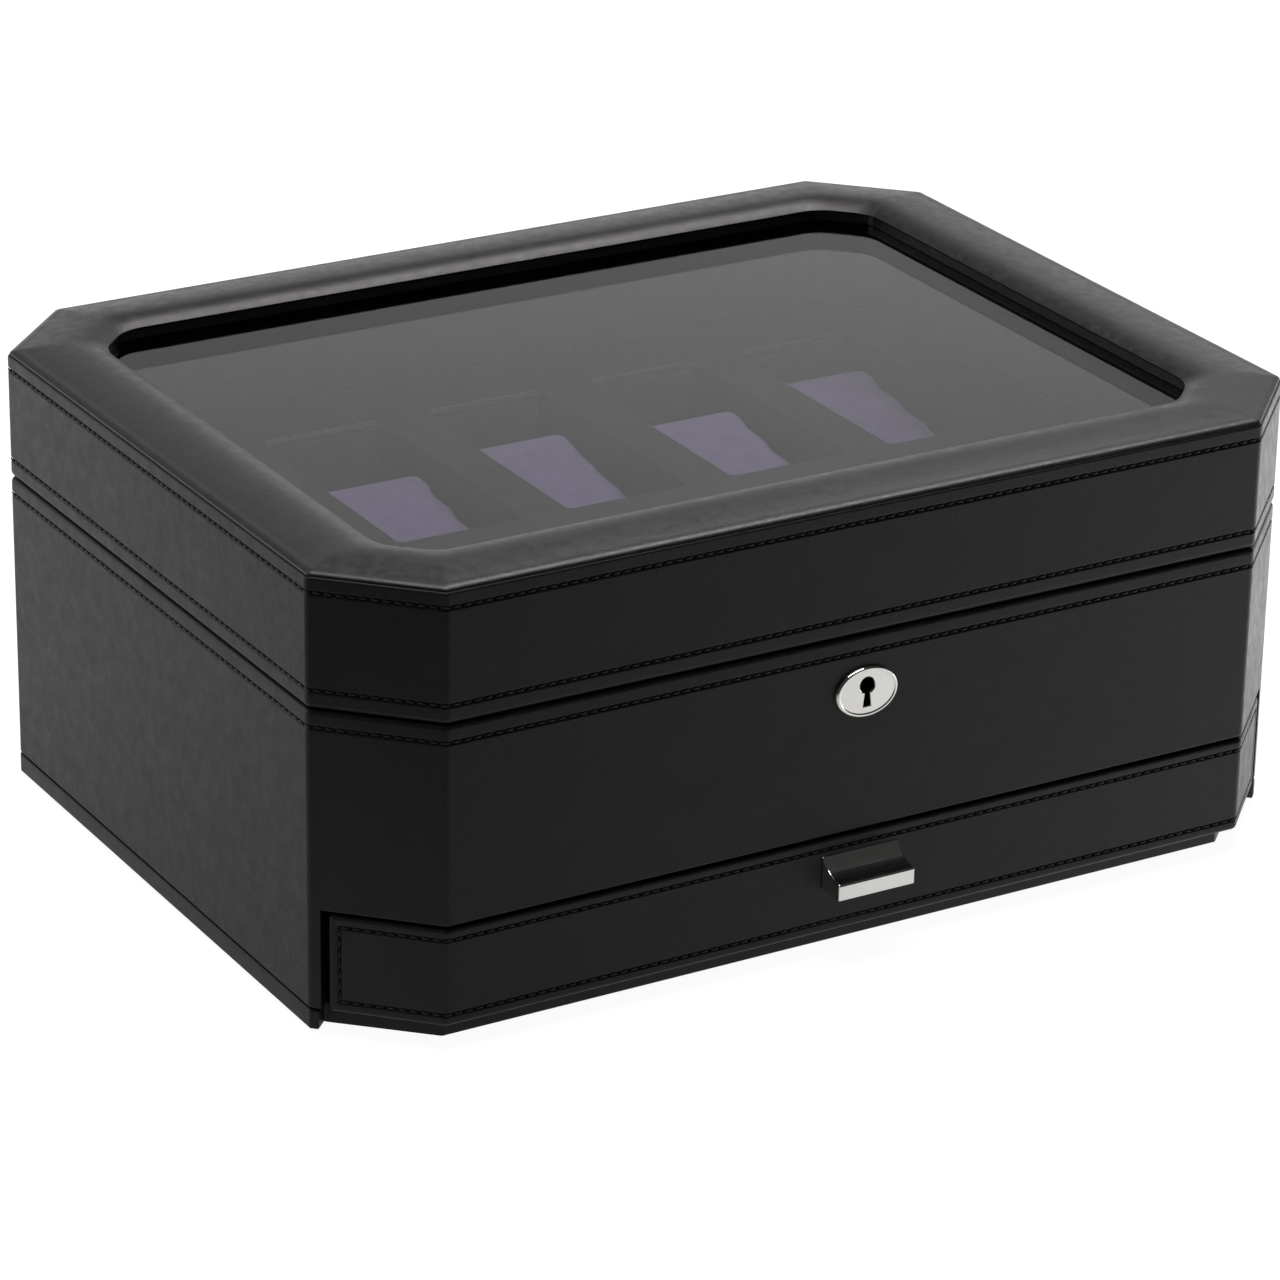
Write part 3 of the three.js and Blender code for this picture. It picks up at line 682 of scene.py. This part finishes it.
def build_case():
    profile = wall_profile(WALL_FOOT, CASE_TOP, CASE_STITCH_Z)
    mesh = bmesh.new()
    loft(mesh, [level(side_run(inset), z) for inset, z in profile], wrap_points=False)
    replaced = ("side_panel_left", "side_panel_right", "back_panel")
    piece("case_wrap", mesh, "case_leather", "case", replaced)

    profile = wall_profile(FRONT_FOOT, CASE_TOP, CASE_STITCH_Z)
    mesh = bmesh.new()
    rows = [level(front_run(inset, corner_point(RETURN_STRIP, inset)), z) for inset, z in profile]
    loft(mesh, rows, wrap_points=False)
    front = piece("case_front", mesh, "case_leather", "case", ("front_panel",))
    lock_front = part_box("lock_case")[0].y
    keyway = cutter([stand(keyhole(0.4 * MM), FRONT_Y - MM), stand(keyhole(0.4 * MM), lock_front + MM)])
    carve(front, keyway, bolt_slot(CASE_TOP - 8 * MM, CASE_TOP + MM))

    mesh = bmesh.new()
    sew(mesh, level(box_outline(STITCH_SUNK), CASE_STITCH_Z), level_outward)
    piece("case_stitching", mesh, "black_thread", "case")
    build_corner_posts()


def build_corner_posts():
    """Posts behind the ends of the drawer front."""
    face = DRAWER_THICKNESS + 0.4 * MM
    inner_x = HALF_WIDTH - WALL + MM
    plan = [
        corner_point(RETURN_STRIP - MM, face),
        corner_point(POST_END, face),
        corner_point(POST_END, face + POST_DEPTH),
        (inner_x, POST_BACK_Y),
    ]
    for side, outline in (("right", plan), ("left", mirrored(plan))):
        mesh = bmesh.new()
        prism(mesh, outline, WALL_FOOT, FRONT_FOOT - 0.4 * MM)
        piece("corner_post_" + side, mesh, "black_board", "case", bevel=0.4 * MM)


# ---------------------------------------------------------------- tray
def well_boxes():
    """(low x, high x, low y, high y) of each of the ten wells."""
    boxes = []
    for row in (-1, 1):
        y = row * WELL_CENTRE_Y
        for column in range(-2, 3):
            x = column * WELL_PITCH
            across = (x - WELL_HALF_WIDTH, x + WELL_HALF_WIDTH)
            boxes.append((*across, y - WELL_HALF_LENGTH, y + WELL_HALF_LENGTH))
    return boxes


def rectangle(x0, x1, y0, y1, radius, steps=CORNER_STEPS):
    corners = [(x0, y0), (x1, y0), (x1, y1), (x0, y1)]
    return rounded([(x, y, radius) for x, y in corners], steps=steps)


def build_tray():
    """Leather tray with ten wells, each with a rounded edge."""
    low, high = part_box("tray_frame")
    mesh = bmesh.new()
    outline = box_outline(WALL + 0.3 * MM)
    skirt = open_loft(mesh, [level(outline, low.z), level(outline, high.z)])
    tops, feet = [], []
    for x0, x1, y0, y1 in well_boxes():
        rows = [level(rectangle(x0, x1, y0, y1, WELL_CORNER), low.z)]
        for k in range(WELL_EDGE_STEPS + 1):
            angle = math.pi / 2 * k / WELL_EDGE_STEPS
            grow = WELL_EDGE * (1 - math.cos(angle))
            z = high.z - WELL_EDGE * (1 - math.sin(angle))
            plan = rectangle(x0 - grow, x1 + grow, y0 - grow, y1 + grow, WELL_CORNER + grow)
            rows.append(level(plan, z))
        made = open_loft(mesh, rows)
        tops.append(made[-1])
        feet.append(made[0])
    fill(mesh, skirt[1], *tops)
    fill(mesh, skirt[0], *feet)
    piece("tray", mesh, "tray_leather", "case", ("tray_frame",))
    build_linings(low.z, high.z)
    build_highlight_bead(high.z)


def build_highlight_bead(top):
    """Thin pale glossy bead along the back edge of each well, whose pale colour paints the highlight line
    there.
    """
    mesh = bmesh.new()
    sides = 10
    for x0, x1, _, y1 in well_boxes():
        rows = []
        for x in (x0 + HIGHLIGHT_BEAD_END, x1 - HIGHLIGHT_BEAD_END):
            ring = []
            for k in range(sides):
                angle = math.tau * k / sides
                y = y1 + WELL_EDGE + HIGHLIGHT_BEAD_RADIUS * math.cos(angle)
                ring.append((x, y, top + HIGHLIGHT_BEAD_RADIUS * math.sin(angle)))
            rows.append(ring)
        loft(mesh, rows, wrap_rows=False)
    piece("well_highlight_bead", mesh, "highlight_bead", "case")


def build_linings(floor, top):
    """Sheets on the front and back walls of each well, in a darker purple that paints the shade on these
    walls.
    """
    mesh = bmesh.new()
    side_gap = 0.8 * MM
    sheet_top = top - WELL_EDGE - 0.4 * MM
    glue = 0.02 * MM
    for x0, x1, y0, y1 in well_boxes():
        for near, far in ((y0 + glue, y0 + LINING_THICKNESS), (y1 - LINING_THICKNESS, y1 - glue)):
            sheet = rectangle(x0 + side_gap, x1 - side_gap, near, far, 0.2 * MM, 2)
            prism(mesh, sheet, floor + 0.1 * MM, sheet_top)
    piece("well_linings", mesh, "shaded_lining_suede", "case")


# ---------------------------------------------------------------- lid
def build_lid():
    foot = LID_FOOT - 0.2 * MM
    stitching = (LID_LOW_STITCH_Z, LID_HIGH_STITCH_Z)
    profile = wall_profile(foot, LID_TOP, *stitching, foot_radius=1.8 * MM, top_radius=0.9 * MM)
    mesh = bmesh.new()
    loft(mesh, ring_rows(profile))
    rails = ["lid_rail_" + side for side in ("front", "back", "left", "right")]
    lid = piece("lid_wrap", mesh, "case_leather", "lid", rails)
    low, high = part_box("strike_plate")
    pocket_low = low - Vector((0.3, 0.3, 2.0)) * MM
    pocket_high = high + Vector((0.3, 0.3, 0.2)) * MM
    pocket = cutter(block_rows(pocket_low, pocket_high))
    carve(lid, pocket, bolt_slot(LID_FOOT, high.z + 6 * MM))

    mesh = bmesh.new()
    for z in stitching:
        sew(mesh, level(box_outline(STITCH_SUNK), z), level_outward)
    piece("lid_stitching", mesh, "black_thread", "lid")
    build_lid_lining()
    build_pad()
    build_recess()


def build_lid_lining():
    """Suede sheet round the inside of the lid, between its foot and the glass retainer, in a darker purple
    that paints the shade inside the lid.
    """
    foot = LID_FOOT + 1.6 * MM
    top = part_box("glass_retainer")[0].z - 0.1 * MM
    mesh = bmesh.new()
    profile = [(WALL - 0.1 * MM, foot), (WALL - 0.1 * MM, top), (WALL + LINING_THICKNESS, top)]
    profile += [(WALL + LINING_THICKNESS, foot + 0.3 * MM), (WALL + 0.7 * LINING_THICKNESS, foot)]
    loft(mesh, ring_rows(profile))
    piece("lid_lining", mesh, "shaded_lining_suede", "lid")


def rail_outline(t):
    """Outline part of the way across the padding, from its outer edge (0) to the window (1)."""

    def mix(a, b, share=t):
        return a + (b - a) * share

    if t < PAD_CREST_AT:
        radius = mix(PAD_EDGE_RADIUS, PAD_CREST_RADIUS, t / PAD_CREST_AT)
    else:
        radius = mix(PAD_CREST_RADIUS, PAD_RIM_RADIUS, (t - PAD_CREST_AT) / (1 - PAD_CREST_AT))
    half_x = mix(HALF_WIDTH - PAD_BORDER, WINDOW_HALF_X)
    half_y = mix(HALF_DEPTH - PAD_BORDER, WINDOW_HALF_Y)
    outer_cut = CUT - PAD_BORDER * CUT_SHRINK
    return cut_rectangle(half_x, half_y, mix(outer_cut, WINDOW_CUT), radius)


def build_pad():
    """Padded leather frame round the window: rolled outer edge, low crown, rounded inner rim."""
    low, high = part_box("top_pad")
    outer_edge = low.z - 0.1 * MM
    crest = high.z - 0.1 * MM
    rise = crest - outer_edge - PAD_ROLL_HEIGHT
    counts = edge_counts(rail_outline(0.5), PAD_SPACING)

    def crown(t):
        """Height of the padding part of the way across."""
        roll = 1 - min(t / PAD_ROLL_AT, 1.0)
        slope = 1 - min(max(t - PAD_ROLL_AT, 0.0) / (PAD_CREST_AT - PAD_ROLL_AT), 1.0)
        fall = max(t - PAD_CREST_AT, 0.0) / (1 - PAD_CREST_AT)
        up = PAD_ROLL_HEIGHT * math.sqrt(1 - roll**2) + rise * (1 - slope**1.7)
        return outer_edge + up - PAD_RIM_DROP * fall**2.4

    foot = low.z - 0.2 * MM
    profile = [(0.080, foot), (0.020, foot)]  # the underside's outer part
    for k in range(PAD_STEPS + 1):
        t = 0.5 - 0.5 * math.cos(math.pi * k / PAD_STEPS)
        profile.append((t, crown(t)))
    profile += [(0.990, foot), (0.960, foot)]  # the underside's inner part
    rows = []
    for t, z in profile:
        plumpness = PAD_UNEVENNESS * math.sin(math.pi * t)
        row = []
        for x, y in divide(rail_outline(t), counts):
            place = Vector((x, y, 0))
            swell = noise.noise(place * 28) + 0.5 * noise.noise(place * 80)
            row.append((x, y, z - abs(swell) * plumpness))
        rows.append(row)
    mesh = bmesh.new()
    loft(mesh, rows)
    piece("padded_top", mesh, "pad_leather", "lid", ("top_pad",), angle=70)


def build_recess():
    """Glossy board that steps down from the padding to the glass."""
    low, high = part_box("window_frame")
    outer = box_outline(WALL + 0.3 * MM)
    inner = window_outline(0.35 * MM)
    edge = window_outline(0.75 * MM)
    mesh = bmesh.new()
    rows = [
        level(outer, low.z),
        level(outer, high.z),
        level(edge, high.z),
        level(inner, high.z - 0.4 * MM),
        level(inner, low.z),
    ]
    loft(mesh, rows)
    piece("window_recess", mesh, "gloss_black", "lid", ("window_frame",), angle=40)


# ---------------------------------------------------------------- drawer front
def drawer_line(inset, distance):
    """Plan point on the right half of the drawer front, at a distance from its end along the wing."""
    return corner_point(DRAWER_START + distance, inset)


def border_depth(distance, z, low, high):
    """Depth of the groove under the drawer front's stitched border."""
    beyond = distance - DRAWER_STITCH_MARGIN
    z_in = min(max(z, low), high)
    to_end = math.hypot(beyond, z - z_in)
    reach = min(abs(z - low), abs(z - high), to_end) if beyond >= 0 else to_end
    return GROOVE_DEPTH * math.exp(-((reach / BORDER_GROOVE_REACH) ** 2))


def build_drawer_front():
    """Leather-covered front with a wing round each corner cut and a stitched border sunk into it."""
    node_low, node_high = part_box("drawer_front")
    foot, top = node_low.z, node_high.z
    sew_low, sew_high = foot + DRAWER_STITCH_MARGIN, top - DRAWER_STITCH_MARGIN
    past_the_end = 1.0  # metres: far beyond the stitched border's end
    ends = [END_ROUND * (1 - math.cos(math.pi / 2 * k / 5)) for k in range(6)]
    ends += [DRAWER_STITCH_MARGIN + d * MM for d in BORDER_STEPS]
    outer_face = [(0.0, foot, END_ROUND)]
    outer_face += [(0.0, sew_low + d * MM, 0.0) for d in BORDER_STEPS]
    outer_face += [(0.0, sew_high + d * MM, 0.0) for d in BORDER_STEPS]
    outer_face += [(0.0, top, END_ROUND)]
    corners = [*outer_face, (DRAWER_THICKNESS, top, 0.8 * MM), (DRAWER_THICKNESS, foot, 0.8 * MM)]
    profile = rounded(corners, steps=5)
    middle = (foot + top) / 2
    columns = []
    for distance in ends:
        fall = max(0.0, END_ROUND - distance)
        shrink = END_ROUND - math.sqrt(max(END_ROUND**2 - fall**2, 0.0))
        column = []
        for inset, z in profile:
            face = 1 - inset / DRAWER_THICKNESS
            sunk = border_depth(distance, z, sew_low, sew_high) if inset < TINY else 0.0
            z_in = z + shrink * (1 if z < middle else -1) * min(1.0, abs(z - middle) / (4 * MM))
            depth = inset + shrink * (1 if face > 0.5 else -1) + sunk
            column.append((*drawer_line(depth, distance), z_in))
        columns.append(column)
    turn = []
    for k in reversed(range(PER_CORNER)):
        column = []
        for inset, z in profile:
            sunk = border_depth(past_the_end, z, sew_low, sew_high) if inset < TINY else 0.0
            column.append((*box_outline(inset + sunk)[k], z))
        turn.append(column)
    right = columns + turn
    left = [[(-x, y, z) for x, y, z in column] for column in reversed(right)]
    mesh = bmesh.new()
    loft(mesh, right + left, wrap_rows=False)
    piece("drawer_face", mesh, "case_leather", "drawer", ("drawer_front",))
    build_drawer_stitching(sew_low, sew_high)


def build_drawer_stitching(low, high):
    along = front_run(STITCH_SUNK, drawer_line(STITCH_SUNK, DRAWER_STITCH_MARGIN))
    mesh = bmesh.new()
    sew(mesh, level(along, low), level_outward, closed=False)
    sew(mesh, level(along, high), level_outward, closed=False)
    for x, y in (along[0], along[-1]):
        facing = Vector((math.copysign(DIAGONAL, x), -DIAGONAL, 0))
        upright = [(x, y, low), (x, y, high)]
        sew(mesh, upright, lambda centre, line, facing=facing: facing, closed=False)
    piece("drawer_stitching", mesh, "black_thread", "drawer")


# ---------------------------------------------------------------- metalwork
def build_escutcheon():
    """Oval plate: raised bevelled rim, flat face, keyhole with a fine chamfer."""
    half_x = (PLATE_HIGH.x - PLATE_LOW.x) / 2
    half_z = (PLATE_HIGH.z - PLATE_LOW.z) / 2
    back, front = PLATE_HIGH.y, PLATE_LOW.y
    face = front + 0.28 * MM
    segments = 96

    def oval(inset, y):
        points = []
        for k in range(segments):
            angle = math.tau * k / segments
            points.append(((half_x - inset) * math.cos(angle), (half_z - inset) * math.sin(angle)))
        return stand(points, y)

    # from the back edge over the raised rim and down to the flat face
    rim = [
        oval(0.0, back),
        oval(0.0, back - 0.35 * MM),
        oval(0.12 * MM, back - 0.75 * MM),
        oval(0.35 * MM, front + 0.18 * MM),
        oval(0.60 * MM, front + 0.03 * MM),
        oval(0.85 * MM, front),
        oval(1.15 * MM, front + 0.06 * MM),
        oval(1.40 * MM, face),
    ]
    hole = [
        stand(keyhole(0.42 * MM), face),
        stand(keyhole(0.30 * MM), face - 0.05 * MM),
        stand(keyhole(0.12 * MM), face + 0.04 * MM),
        stand(keyhole(0.0), face + 0.2 * MM),
        stand(keyhole(0.0), back),
    ]
    mesh = bmesh.new()
    rim_rows = open_loft(mesh, rim)
    hole_rows = open_loft(mesh, hole)
    fill(mesh, rim_rows[-1], hole_rows[0])
    fill(mesh, rim_rows[0], hole_rows[-1])
    piece("keyhole_plate", mesh, "polished_metal", "case", ("escutcheon",), angle=35)


def build_pull():
    """Wedge-shaped pull with a hollowed top."""
    low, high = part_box("drawer_pull")
    root, tip = high.y, low.y
    tip_top = low.z + PULL_TIP_HEIGHT
    corners = [(root, low.z), (root, high.z)]
    steps = 10
    bend = Vector((root - (root - tip) * 0.35, tip_top + 0.4 * MM))
    start, end = Vector((root, high.z)), Vector((tip + MM, tip_top))
    for k in range(1, steps + 1):
        t = k / steps
        corners.append(tuple(start * (1 - t) ** 2 + bend * 2 * t * (1 - t) + end * t * t))
    corners += [(tip, tip_top - 0.4 * MM), (tip, low.z)]
    mesh = bmesh.new()
    loft(mesh, [[(x, y, z) for y, z in corners] for x in (low.x, high.x)], wrap_rows=False)
    piece("pull", mesh, "polished_metal", "drawer", ("drawer_pull",), angle=40, bevel=0.4 * MM)


# ---------------------------------------------------------------- CAD nodes that stay
def dress(name, finish, bevel):
    """Gives a CAD node its finish, welded corners and softened edges."""
    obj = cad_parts[name]
    obj.data.materials.clear()
    obj.data.materials.append(FINISH[finish])
    weld = obj.modifiers.new("weld", "WELD")
    weld.merge_threshold = 0.002 * MM
    obj.data.polygons.foreach_set("use_smooth", [True] * len(obj.data.polygons))
    soften(obj, bevel)


def dress_kept_nodes():
    kept = {
        ("black_felt", 0.3 * MM): ["base_felt"],
        ("case_leather", 0.7 * MM): ["base_board"],
        ("purple_suede", 0.2 * MM): ["floor_lining", "drawer_lining"],
        ("window_glass", 0.0): ["glass_pane"],
        ("black_board", 0.4 * MM): ["shelf_board", "glass_retainer", "drawer_back", "drawer_bottom"],
        ("polished_metal", 0.15 * MM): ["lock_case", "lock_bolt", "strike_plate"],
    }
    for side in ("left", "right"):
        kept["black_board", 0.4 * MM] += ["drawer_guide_" + side, "drawer_side_" + side]
        metal = ["hinge_leaf_case_", "hinge_leaf_lid_", "hinge_pin_", "pull_screw_"]
        kept["polished_metal", 0.15 * MM] += [name + side for name in metal]
        for part in ("case", "lid"):
            for end in ("inner", "outer"):
                kept["polished_metal", 0.15 * MM].append(f"hinge_screw_{part}_{side}_{end}")
    for (finish, bevel), names in kept.items():
        for name in names:
            dress(name, finish, bevel)


# ---------------------------------------------------------------- cushions
def cushion_start(name):
    """Block a little smaller than its space, its top rising towards the back, remeshed evenly."""
    low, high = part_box(name)
    low, high = low + Vector((SHRINK, SHRINK, 0)), high - Vector((SHRINK, SHRINK, SHRINK))
    corners = [(low.y, low.z), (high.y, low.z), (high.y, high.z), (low.y, high.z - CUSHION_FALL)]
    side = rounded([(y, z, CUSHION_RADIUS) for y, z in corners], steps=4)
    mesh = bmesh.new()
    loft(mesh, [[(x, y, z) for y, z in side] for x in (low.x, high.x)], wrap_rows=False)
    bmesh.ops.recalc_face_normals(mesh, faces=mesh.faces)
    obj = make_object("watch_" + name, mesh)
    obj.data.materials.append(FINISH["purple_suede"])
    remesh = obj.modifiers.new("remesh", "REMESH")
    remesh.mode = "VOXEL"
    remesh.voxel_size = VOXEL
    apply_modifiers(obj)
    return obj


def apply_modifiers(obj):
    """Replaces an object's mesh with what its modifiers make of it."""
    graph = bpy.context.evaluated_depsgraph_get()
    data = bpy.data.meshes.new_from_object(obj.evaluated_get(graph))
    obj.modifiers.clear()
    obj.data = data


def inflate(obj, pressure):
    """Cloth simulation with pressure; each point's move is capped."""
    cloth = obj.modifiers.new("cloth", "CLOTH")
    cloth.settings.quality = 5
    cloth.settings.mass = 0.3
    cloth.settings.tension_stiffness = 15
    cloth.settings.compression_stiffness = 15
    cloth.settings.shear_stiffness = 8
    cloth.settings.bending_stiffness = 2.0
    cloth.settings.use_pressure = True
    cloth.settings.uniform_pressure_force = pressure
    cloth.settings.effector_weights.gravity = 0
    cloth.collision_settings.use_collision = False
    cloth.point_cache.frame_start = 1
    cloth.point_cache.frame_end = SIM_FRAMES
    before = [v.co.copy() for v in obj.data.vertices]
    for number in range(1, SIM_FRAMES + 1):
        bpy.context.scene.frame_set(number)
    graph = bpy.context.evaluated_depsgraph_get()
    moved = [v.co.copy() for v in obj.evaluated_get(graph).data.vertices]
    obj.modifiers.clear()
    for vertex, start, end in zip(obj.data.vertices, before, moved):
        move = end - start
        if move.length > MOVE_CAP:
            move *= MOVE_CAP / move.length
        vertex.co = start + move
    bpy.context.scene.frame_set(1)


def build_cushions():
    names = sorted(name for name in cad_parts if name.startswith("cushion_"))
    for index, name in enumerate(names):
        cushion = cushion_start(name)
        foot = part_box(name)[0].z
        inflate(cushion, LOWEST_PRESSURE + PRESSURE_STEP * (index % 3))
        for vertex in cushion.data.vertices:
            vertex.co.z = max(vertex.co.z, foot)
        smooth = cushion.modifiers.new("smooth", "SUBSURF")
        smooth.levels = 1
        smooth.render_levels = 1
        shade(cushion.data, 180)
        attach(cushion, name)
        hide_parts(name)


# ---------------------------------------------------------------- studio
def pale_floor(name):
    """Near-white studio floor. It glows more behind and to the right of the object than in front of
    it, so what the leather and metal mirror falls off towards the camera's left."""
    n = Nodes(name)
    dust = n.noise(60 * MM, 3.0)
    diffuse = n.feed(n.add("BsdfDiffuse"), Color=n.mix(dust, grey(0.20), grey(0.198)))
    seen = n.feed(n.add("Emission"), Color=grey(1.0), Strength=FLOOR_SEEN)
    apart = n.feed(n.add("SeparateXYZ"), Vector=n.place)
    slant = n.calculate("MULTIPLY_ADD", apart.outputs["X"], FLOOR_SLANT, apart.outputs["Y"])
    growth = n.calculate("EXPONENT", n.calculate("MULTIPLY", slant, FLOOR_GROWTH))
    glow = n.calculate("MINIMUM", n.calculate("MULTIPLY", growth, FLOOR_GLOW), FLOOR_MOST)
    mirrored_light = n.feed(n.add("Emission"), Color=grey(1.0), Strength=glow)
    which = n.add("MixShader")
    n.link(n.add("LightPath").outputs["Is Camera Ray"], which.inputs[0])
    n.link(mirrored_light.outputs[0], which.inputs[1])
    n.link(seen.outputs[0], which.inputs[2])
    both = n.add("AddShader")
    n.link(diffuse.outputs[0], both.inputs[0])
    n.link(which.outputs[0], both.inputs[1])
    n.link(both.outputs[0], n.output.inputs["Surface"])
    return n.material


def build_floor():
    half = FLOOR_HALF
    mesh = bmesh.new()
    prism(mesh, [(-half, -half), (half, -half), (half, half), (-half, half)], -20 * MM, 0.0)
    floor = make_object("floor", mesh)
    floor.data.materials.append(pale_floor("pale_floor"))


def area_light(name, place, aim, size, power):
    light = bpy.data.lights.new(name, "AREA")
    light.shape = "RECTANGLE"
    light.size, light.size_y = size
    light.energy = power
    obj = bpy.data.objects.new(name, light)
    bpy.context.scene.collection.objects.link(obj)
    obj.location = place
    obj.rotation_mode = "QUATERNION"
    obj.rotation_quaternion = (Vector(aim) - Vector(place)).to_track_quat("-Z", "Y")


def build_light():
    """Bright sweep low behind the object, dim room in front, and soft lights overhead, left and right."""
    world = bpy.data.worlds.new("studio")
    bpy.context.scene.world = world
    world.use_nodes = True
    tree = world.node_tree

    def ramp(source, start, end, low, high):
        node = tree.nodes.new("ShaderNodeMapRange")
        node.interpolation_type = "SMOOTHSTEP"
        tree.links.new(source, node.inputs["Value"])
        for name, value in zip(("From Min", "From Max", "To Min", "To Max"), (start, end, low, high)):
            node.inputs[name].default_value = value
        return node.outputs["Result"]

    direction = tree.nodes.new("ShaderNodeTexCoord").outputs["Generated"]
    apart = tree.nodes.new("ShaderNodeSeparateXYZ")
    tree.links.new(direction, apart.inputs[0])
    behind = ramp(apart.outputs["Y"], -0.3, 0.7, 0.0, 1.0)
    near_horizon = ramp(apart.outputs["Z"], 0.05, 0.68, 1.0, 0.0)
    sweep = tree.nodes.new("ShaderNodeMath")
    sweep.operation = "MULTIPLY"
    tree.links.new(behind, sweep.inputs[0])
    tree.links.new(near_horizon, sweep.inputs[1])
    strength = ramp(sweep.outputs[0], 0.0, 1.0, ROOM_DIM, ROOM_BRIGHT)
    tree.links.new(strength, tree.nodes["Background"].inputs["Strength"])
    tree.nodes["Background"].inputs["Color"].default_value = grey(1.0)
    area_light("left_softbox", (-1.4, 0.7, 0.5), (0, 0, 0.05), (0.8, 0.8), 3)
    area_light("top_softbox", (0.0, 0.1, 1.7), (0, 0, 0.1), (1.2, 1.2), 22)
    area_light("edge_softbox", (0.85, 0.52, 1.5), (0, 0, 0.1), (0.6, 0.6), 8)
    bpy.context.scene.view_settings.view_transform = "Standard"


def build_camera():
    azimuth, elevation, roll = math.radians(-30.69), math.radians(23.24), math.radians(1.0)
    distance = 1.6127
    target = Vector((-0.0223, -0.0380, 0.0697))
    back = Vector((
        math.sin(azimuth) * math.cos(elevation),
        -math.cos(azimuth) * math.cos(elevation),
        math.sin(elevation),
    ))
    right = Vector((0, 0, 1)).cross(back).normalized()
    up = back.cross(right)
    turned_right = right * math.cos(roll) + up * math.sin(roll)
    turned_up = up * math.cos(roll) - right * math.sin(roll)
    data = bpy.data.cameras.new("camera")
    data.lens = 148.67
    data.sensor_width = 36
    camera = bpy.data.objects.new("camera", data)
    bpy.context.scene.collection.objects.link(camera)
    turn = Matrix((turned_right, turned_up, back)).transposed()
    camera.matrix_world = Matrix.Translation(target + back * distance) @ turn.to_4x4()
    bpy.context.scene.camera = camera


build_case()
build_tray()
build_lid()
build_drawer_front()
build_escutcheon()
build_pull()
dress_kept_nodes()
build_cushions()
build_floor()
build_light()
build_camera()
